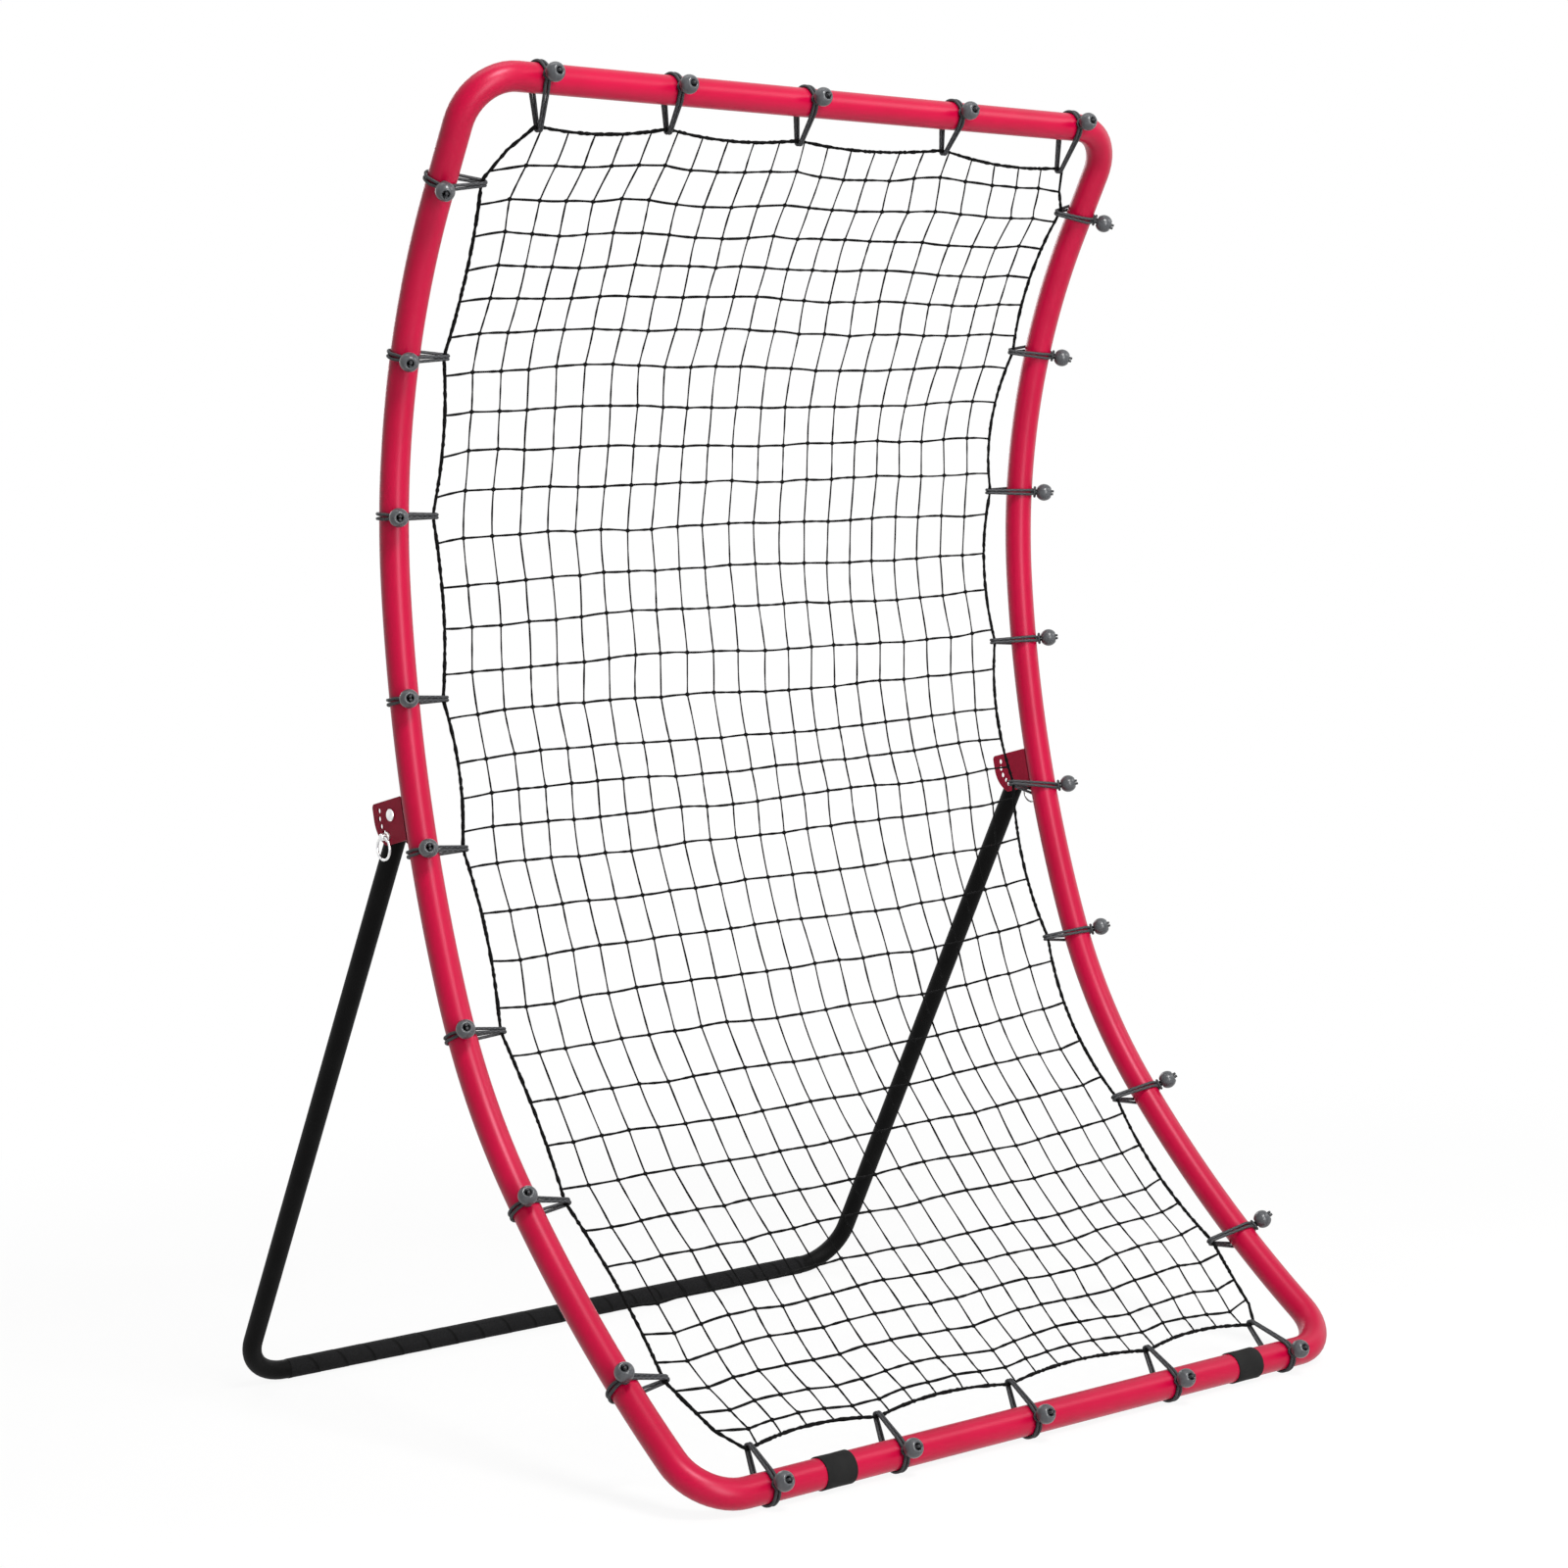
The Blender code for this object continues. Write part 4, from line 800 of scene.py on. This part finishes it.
def drawnOut(x, station):
    # How much further the net's top right corner is stretched out than the other three
    t = stretched
    between = max(0, 1 - abs(station - t["middle"]) / t["reach"])
    return (t["corner"] * rising(station, *t["up"]) + t["between"] * between) * rising(x, *t["across"])


def raisedTo(x):
    # The middle loops of the top rail are shorter and hold the net higher than the outer two
    seats = loopSeats["top"]
    hooks, raised = seats["hooks"], seats["raised"]
    for low, high, near, far in zip(hooks, hooks[1:], raised, raised[1:]):
        if low < x <= high:
            return near + (far - near) * (x - low) / (high - low)
    return 0.0


def modelBall():
    b = bungee
    # The sphere is faced off flat round the bore at both ends, with a small chamfer into the bore
    start = math.acos(b["flat"] / b["ball"])
    turns = [-start + 2 * start * k / 16 for k in range(17)]
    face = b["ball"] * math.sin(start)
    rim = [(face + step, radius) for step, radius in b["rim"]]
    outline = [(-height, radius) for height, radius in reversed(rim)]
    outline += [(b["ball"] * math.sin(a), b["ball"] * math.cos(a)) for a in turns]
    outline += rim + outline[:1]
    piece = latheAlongZ("ball", outline, 28)
    smooth(piece, 60)
    return piece


def beltRun(centre, outward, front, along, inset, lean, side, ballAngle):
    # Once round the tube, out to the border cord and back; the two turns part behind the tube
    # and close up at the ball and at the net
    b = bungee
    big, small = b["tubeReach"], b["netReach"]
    tip = math.acos((big - small) / inset)
    end = math.pi - tip
    flat = [(big * math.cos(a), big * math.sin(a)) for a in (-end + 2 * end * k / 30 for k in range(31))]
    flat += [(-inset + small * math.cos(a), small * math.sin(a))
             for a in (end + 2 * tip * k / 8 for k in range(9))]
    run = []
    for number, (o, f) in enumerate(flat):
        share = min(1, max(0, -o / inset))
        # A side loop's rear run leans only once it is past the hinge bracket
        freely = f > 0 or along.x > b["onRail"]
        leaning = share if freely else min(1, max(0, (-o - big) / (inset - big)))
        fromBall = math.atan2(f, o) - ballAngle
        gathered = max(math.exp(-(fromBall / b["gathering"]) ** 2), share)
        wander = side * (b["apart"] + (b["together"] - b["apart"]) * gathered)
        wander += b["wander"] * math.sin(number * b["wanderStep"] + side)
        run.append((centre + outward * o + front * f + along * (lean * leaning + wander), 1.0))
    # The straight runs get points of their own
    full = []
    for (here, swell), (there, _) in zip(run, run[1:] + run[:1]):
        full.append((here, swell))
        if (there - here).length > b["longRun"]:
            full += [(here.lerp(there, k / 5), 1.0) for k in range(1, 5)]
    return full


def makeBungee(name, number, ball, seatOf, turn, inset):
    centre, outward, front, along, lean = seatOf
    b = bungee
    ballTurn = math.pi / 2 - math.radians(turn)
    belts = [beltRun(centre, outward, front, along, inset, lean, side, ballTurn) for side in (-1, 1)]
    loop = drawTube(f"{name}Bungee{number}", belts, b["cord"], True, 8)
    axis = outward * math.cos(ballTurn) + front * math.sin(ballTurn)
    third = axis.cross(along).normalized()
    wide, deep = b["collar"], b["collar"] * b["collarFlat"]
    middle = centre + axis * b["collarAt"]
    collar = [(middle + along * (wide * math.cos(a)) + third * (deep * math.sin(a)), 1.0)
              for a in (math.tau * k / 20 for k in range(20))]
    knot = drawTube("knot", [collar], b["collarCord"], True, 8)
    ends = []
    for side in (-1, 1):
        reach = b["ballReach"] + b["ball"] + chance.uniform(*b["tailPast"])
        stops = [b["tailFrom"] + (reach - b["tailFrom"]) * k / 8 for k in range(9)]
        ends.append([(centre + axis * s + along * (side * b["tailsApart"]), b["tailTip"] if k == 8 else 1.0)
                     for k, s in enumerate(stops)])
    tails = drawTube("tails", ends, b["cord"] * b["tailThin"], False, 10)
    bpy.ops.object.select_all(action="DESELECT")
    for part in (knot, tails, loop):
        part.select_set(True)
    bpy.context.view_layer.objects.active = loop
    bpy.ops.object.join()
    bead = copyOf(ball, f"{name}Ball{number}")
    pointAlong(bead, axis, centre + axis * b["ballReach"])
    for piece, material in ((loop, shockCord), (bead, ballPlastic)):
        dress(piece, material, "frame", "bungee_grey", f"{name}_bungee_{number}")


def makeBungees():
    ball = modelBall()
    for name, hand in (("left", -1), ("right", 1)):
        seats = loopSeats[name]
        for number, (station, lean) in enumerate(zip(seats["stations"], seats["leans"]), 1):
            place, up, front = sideAt(station)
            outward = Vector((hand, 0, 0))
            inset = seats["inset"] - drawnOut(hand * (tubeFrame["half"] - seats["inset"]), station)
            makeBungee(name, number, ball, (place + outward * tubeFrame["half"], outward, front, up, lean),
                       seats["turn"], inset)
    for name, station, sign in (("bottom", 0, -1), ("top", sideLength, 1)):
        seats = loopSeats[name]
        place, up, front = sideAt(station)
        along = Vector((1, 0, 0))
        for number, (hook, lean) in enumerate(zip(seats["hooks"], seats["leans"]), 1):
            reach = lean + drawnOut(hook, station)
            inset = seats["inset"] - (raisedTo(hook) if name == "top" else 0)
            makeBungee(name, number, ball, (place + along * (hook - lean), up * sign, front, along, reach),
                       seats["turn"], inset)
    bpy.data.objects.remove(ball, do_unlink=True)


makeBungees()
print("bungees tied")


# Net: a thick border cord in shallow scallops, and inner cords knotted where they cross

net = {"cornerIn": 0.0165, "cornerUp": 0.025, "scallop": 0.008, "topScallop": 0.006, "hold": 0.0043,
       "border": 0.0017, "borderSteps": (240, 450), "borderScatter": 0.0002, "borderSwell": (0.72, 1.22),
       "edgeFade": 0.16, "topFall": 0.008, "bottomRise": 0.010, "rowSag": 0.0015, "wave": 0.0014,
       "drift": 0.0018, "knotScatter": 0.0009, "knotLift": 0.0006,
       "knotSwell": 1.9, "neck": (0.0011, 0.3), "neckSwell": 1.6,
       "beside": (0.0024, 0.42), "besideSwell": 0.95, "slack": 0.0006, "swell": (0.78, 1.25),
       "rowCord": 0.0012, "columnCord": 0.00085, "columns": 22,
       "rows": (0.077, 0.112, 0.145, 0.179, 0.21, 0.245, 0.282, 0.32, 0.36, 0.398, 0.442, 0.485, 0.525,
                0.57, 0.614, 0.659, 0.694, 0.727, 0.763, 0.809, 0.856, 0.902, 0.95, 0.998, 1.044, 1.09,
                1.137, 1.179, 1.224, 1.257, 1.289, 1.322, 1.35, 1.373)}
# The photographed net hangs a little askew: the rows climb towards their right ends and sink at their left
hang = {"climb": 0.0105, "lowerClimb": 0.012, "lowerTo": (0.5, 0.95), "climbFrom": (0.04, 0.16),
        "endShare": 0.85, "endFade": 0.2, "evenShare": 0.15, "topShare": 0.12, "topFrom": (0.95, 1.25),
        "sink": 0.003, "upperSink": 0.010, "upperFrom": (0.55, 1.05), "sinkPower": 5, "raisedPower": 3}

netLow = loopSeats["bottom"]["inset"] + net["cornerUp"]
netHigh = sideLength - loopSeats["top"]["inset"] - net["cornerUp"]
netHalf = tubeFrame["half"] - loopSeats["left"]["inset"] - net["cornerIn"]


def drawnIn(place, loops, first, last, corner, scallop):
    # How far the border is drawn in: scallops between loops, straight cuts at the corners
    hold = net["hold"]
    for low, high in zip([first] + list(loops), list(loops) + [last]):
        if place <= high or high == last:
            break
    if low == first or high == last:
        near, end = (high, first) if low == first else (low, last)
        return corner * min(1, max(0, (abs(place - near) - hold) / (abs(end - near) - hold)))
    part = min(1, max(0, (place - low - hold) / (high - low - 2 * hold)))
    return scallop * 4 * part * (1 - part)


def sideEdge(hand, station):
    seats = loopSeats["left" if hand < 0 else "right"]
    held = [place + lean for place, lean in zip(seats["stations"], seats["leans"])]
    pull = drawnIn(station, held, netLow, netHigh, net["cornerIn"], net["scallop"])
    return hand * (tubeFrame["half"] - seats["inset"] - pull)


def bottomEdge(x):
    seats = loopSeats["bottom"]
    return seats["inset"] + drawnIn(x, seats["hooks"], -netHalf, netHalf, net["cornerUp"], net["scallop"])


def topEdge(x):
    seats = loopSeats["top"]
    return sideLength - seats["inset"] + raisedTo(x) - drawnIn(x, seats["hooks"], -netHalf, netHalf,
                                                               net["cornerUp"], net["topScallop"])


def onNet(x, station, lift=0.0):
    place, _, front = sideAt(station)
    return place + Vector((x + drawnOut(x, station), 0, 0)) + front * lift


def askew(across, level):
    h = hang
    climb = h["climb"] + h["lowerClimb"] * (1 - rising(level, *h["lowerTo"]))
    climb *= rising(level, *h["climbFrom"])
    share = h["endShare"] * math.exp((across - 1) / h["endFade"]) + h["evenShare"]
    share += h["topShare"] * rising(level, *h["topFrom"])
    sink = h["sink"] + h["upperSink"] * rising(level, *h["upperFrom"])
    return climb * min(1, share) - sink * (1 - across) ** h["sinkPower"]


def knotTable():
    # Every crossing's x, station and lift; the outer ones lie on the border
    table = {}
    columns = net["columns"]
    stations = [topEdge(0)] + [sideLength - s for s in net["rows"]] + [bottomEdge(0)]
    last = len(stations) - 1
    for row, level in enumerate(stations):
        sag = scatter(net["rowSag"])
        nearTop = math.exp(-(stations[0] - level) / net["edgeFade"])
        nearBottom = math.exp(-(level - stations[-1]) / net["edgeFade"])
        for column in range(columns + 1):
            across = column / columns
            x = -netHalf + 2 * netHalf * across
            top, bottom = topEdge(x), bottomEdge(x)
            inside = 0 < row < last and 0 < column < columns
            station = top if row == 0 else bottom
            if 0 < row < last:
                fall = min(net["topFall"], sideLength - loopSeats["top"]["inset"] + raisedTo(x) - top)
                rise = min(net["bottomRise"], bottom - loopSeats["bottom"]["inset"])
                station = level - fall * nearTop + rise * nearBottom + askew(across, level)
                station += raisedTo(x) * nearTop ** hang["raisedPower"]
            if inside:
                wave = math.sin(across * 8 + row * 0.8) + 0.6 * math.sin(across * 19 - row * 1.3)
                station += sag + net["wave"] * wave + scatter(net["knotScatter"])
            station = min(max(station, netLow), netHigh) if column in (0, columns) else station
            left, right = sideEdge(-1, station), sideEdge(1, station)
            x = left + (right - left) * across
            if inside:
                x += net["drift"] * math.sin(row * 0.4 + column * 0.7) + scatter(net["knotScatter"])
            table[column, row] = (x, station, scatter(net["knotLift"]))
    return table, last


def strandRun(knots, seed):
    # A cord from knot to knot: swollen at each knot, a little slack and lint between
    wobble = random.Random(seed)
    beside = net["besideSwell"]
    run = []
    for number, (a, b) in enumerate(zip(knots, knots[1:])):
        length = max(1e-6, math.hypot(b[0] - a[0], b[1] - a[1]))
        near, away = (min(most, reach / length) for reach, most in (net["neck"], net["beside"]))
        slack = wobble.uniform(-net["slack"], net["slack"])
        fat = [wobble.uniform(*net["swell"]) for _ in range(3)]
        knot, neck = (net["knotSwell"], net["neckSwell"]) if number > 0 else (1.0, 1.0)
        nextNeck = net["neckSwell"] if number < len(knots) - 2 else 1.0
        quarter = 0.5 * (away + 0.5)
        for part, swell in ((0.0, knot), (near, neck), (away, beside), (quarter, fat[0]), (0.5, fat[1]),
                            (1 - quarter, fat[2]), (1 - away, beside), (1 - near, nextNeck)):
            bow = slack * 4 * part * (1 - part)
            x = a[0] + (b[0] - a[0]) * part - bow * (b[1] - a[1]) / length
            station = a[1] + (b[1] - a[1]) * part + bow * (b[0] - a[0]) / length
            run.append((onNet(x, station, a[2] + (b[2] - a[2]) * part), swell))
    run.append((onNet(*knots[-1]), 1.0))
    return run


def makeNet():
    table, last = knotTable()
    columns = net["columns"]
    rows = [strandRun([table[c, r] for c in range(columns + 1)], 100 + r) for r in range(1, last)]
    rowCords = drawTube("netRowCords", rows, net["rowCord"], False, 6)
    dress(rowCords, netCord, "frame", "net_cord", "net_mesh_1", "net_mesh_2", "net_mesh_3", "net_mesh_4",
          "net_mesh_5", "net_mesh_6")
    uprights = [strandRun([table[c, r] for r in range(last + 1)], 300 + c) for c in range(1, columns)]
    columnCords = drawTube("netColumnCords", uprights, net["columnCord"], False, 6)
    dress(columnCords, netCord, "frame", "net_cord", "net_mesh_1")


def borderRun():
    # The bottom, the right side, the top and the left side in turn
    steps, sideSteps = net["borderSteps"]
    stray = net["borderScatter"]
    run = []
    for way, edge, start in ((1, bottomEdge, netLow), (-1, topEdge, netHigh)):
        for k in range(steps + 1):
            x = way * (2 * netHalf * k / steps - netHalf)
            run.append((x, edge(x)))
        for k in range(1, sideSteps):
            station = start + way * ((netHigh - netLow) * k / sideSteps)
            run.append((sideEdge(way, station), station))
    return [(onNet(x + scatter(stray), station + scatter(stray)), chance.uniform(*net["borderSwell"]))
            for x, station in run]


def makeBorder():
    piece = drawTube("netBorderCord", [borderRun()], net["border"], True, 8)
    dress(piece, netCord, "frame", "net_cord", "net_border_cord")


makeNet()
makeBorder()
print("net knotted")


# Floor, backdrop and studio light

# Each lamp is a place, a width and height, a power and a tint. The key hangs high in front, a little right of
# the camera, the strips stand low in front and overhead, and the soft fills are on the right and behind
studio = {"white": 1.0, "sky": 0.18, "floor": 40, "floorDrop": 0.0004, "near": 0.9, "far": 2.2,
          "nearShare": 0.90, "aim": (0, 0, 0.6),
          "lamps": {"key": ((-0.50, -2.35, 3.25), (0.9, 0.9), 114, (1.0, 0.99, 0.98)),
                    "frontStrip": ((-0.56, -3.16, 1.1), (0.9, 2.2), 74, (1.0, 1.0, 1.0)),
                    "rightKey": ((2.1, -2.0, 2.5), (1.4, 1.0), 22, (1.0, 1.0, 1.0)),
                    "topStrip": ((-0.30, 0.2, 3.7), (0.7, 2.2), 16, (1.0, 1.0, 1.0)),
                    "rightSoft": ((3.1, -0.4, 1.3), (1.0, 2.0), 6, (1.0, 1.0, 1.0)),
                    "backSoft": ((0.7, 3.3, 2.0), (2.0, 1.6), 34, (1.0, 1.0, 1.0))}}


def seenStraight(tree):
    # 1 where the camera sees this itself or in a mirror or through glass, 0 where it only gives light
    path = addNode(tree, "LightPath").outputs
    seen = addNode(tree, "Math", {0: path["Is Camera Ray"], 1: path["Is Glossy Ray"]}, operation="MAXIMUM")
    return addNode(tree, "Math", {0: seen, 1: path["Is Transmission Ray"]}, operation="MAXIMUM")


def floorMaterial():
    # Matt pale studio floor with the faintest mottling; to the camera it is nearly white and keeps the shadow
    material, tree, shader = newMaterial("studioFloor", {"Roughness": 0.9})
    place = addNode(tree, "TexCoord").outputs["Object"]
    mottle = addNode(tree, "TexNoise", {"Vector": place, "Scale": 3.0, "Detail": 2.0})
    tone = addNode(tree, "ValToRGB", {"Fac": mottle}, ((0.35, "#E6E6E5"), (0.65, "#ECECEB")))
    wire(shader, {"Base Color": tone})
    # Near the rebounder part of the floor's own shade shows; further out it turns into the white backdrop
    spread = addNode(tree, "VectorMath", {0: place}, operation="LENGTH").outputs["Value"]
    far = addNode(tree, "MapRange", {"Value": spread, "From Min": studio["near"], "From Max": studio["far"],
                                     "To Min": studio["nearShare"], "To Max": 1.0},
                  interpolation_type="SMOOTHSTEP")
    share = addNode(tree, "Math", {0: seenStraight(tree), 1: far}, operation="MULTIPLY")
    white = addNode(tree, "Emission", {"Color": (1, 1, 1, 1), "Strength": 1.0})
    mixed = addNode(tree, "MixShader", {0: share, 1: shader, 2: white})
    wire(tree.nodes["Material Output"], {"Surface": mixed})
    return material


def makeStudio():
    floor = startFrom(bpy.ops.mesh.primitive_plane_add, "studioFloor", size=studio["floor"],
                      location=(0, 0, -studio["floorDrop"]))
    settle(floor)
    floor.data.materials.append(floorMaterial())

    world = bpy.data.worlds.new("studio")
    world.use_nodes = True
    tree = world.node_tree
    sky = tree.nodes["Background"]
    wire(sky, {"Color": (1, 1, 1, 1), "Strength": studio["sky"]})
    white = addNode(tree, "Background", {"Color": (1, 1, 1, 1), "Strength": studio["white"]})
    mixed = addNode(tree, "MixShader", {0: seenStraight(tree), 1: sky, 2: white})
    wire(tree.nodes["World Output"], {"Surface": mixed})
    bpy.context.scene.world = world

    for name, (place, size, power, tint) in studio["lamps"].items():
        light = bpy.data.lights.new(name, "AREA")
        light.shape = "RECTANGLE"
        light.size, light.size_y = size
        light.energy = power
        light.color = tint
        lamp = bpy.data.objects.new(name, light)
        bpy.context.scene.collection.objects.link(lamp)
        lamp.location = place
        lamp.rotation_mode = "QUATERNION"
        lamp.rotation_quaternion = (Vector(studio["aim"]) - Vector(place)).to_track_quat("-Z", "Y")


makeStudio()
bpy.context.scene.view_settings.view_transform = "Standard"
print("studio lit")
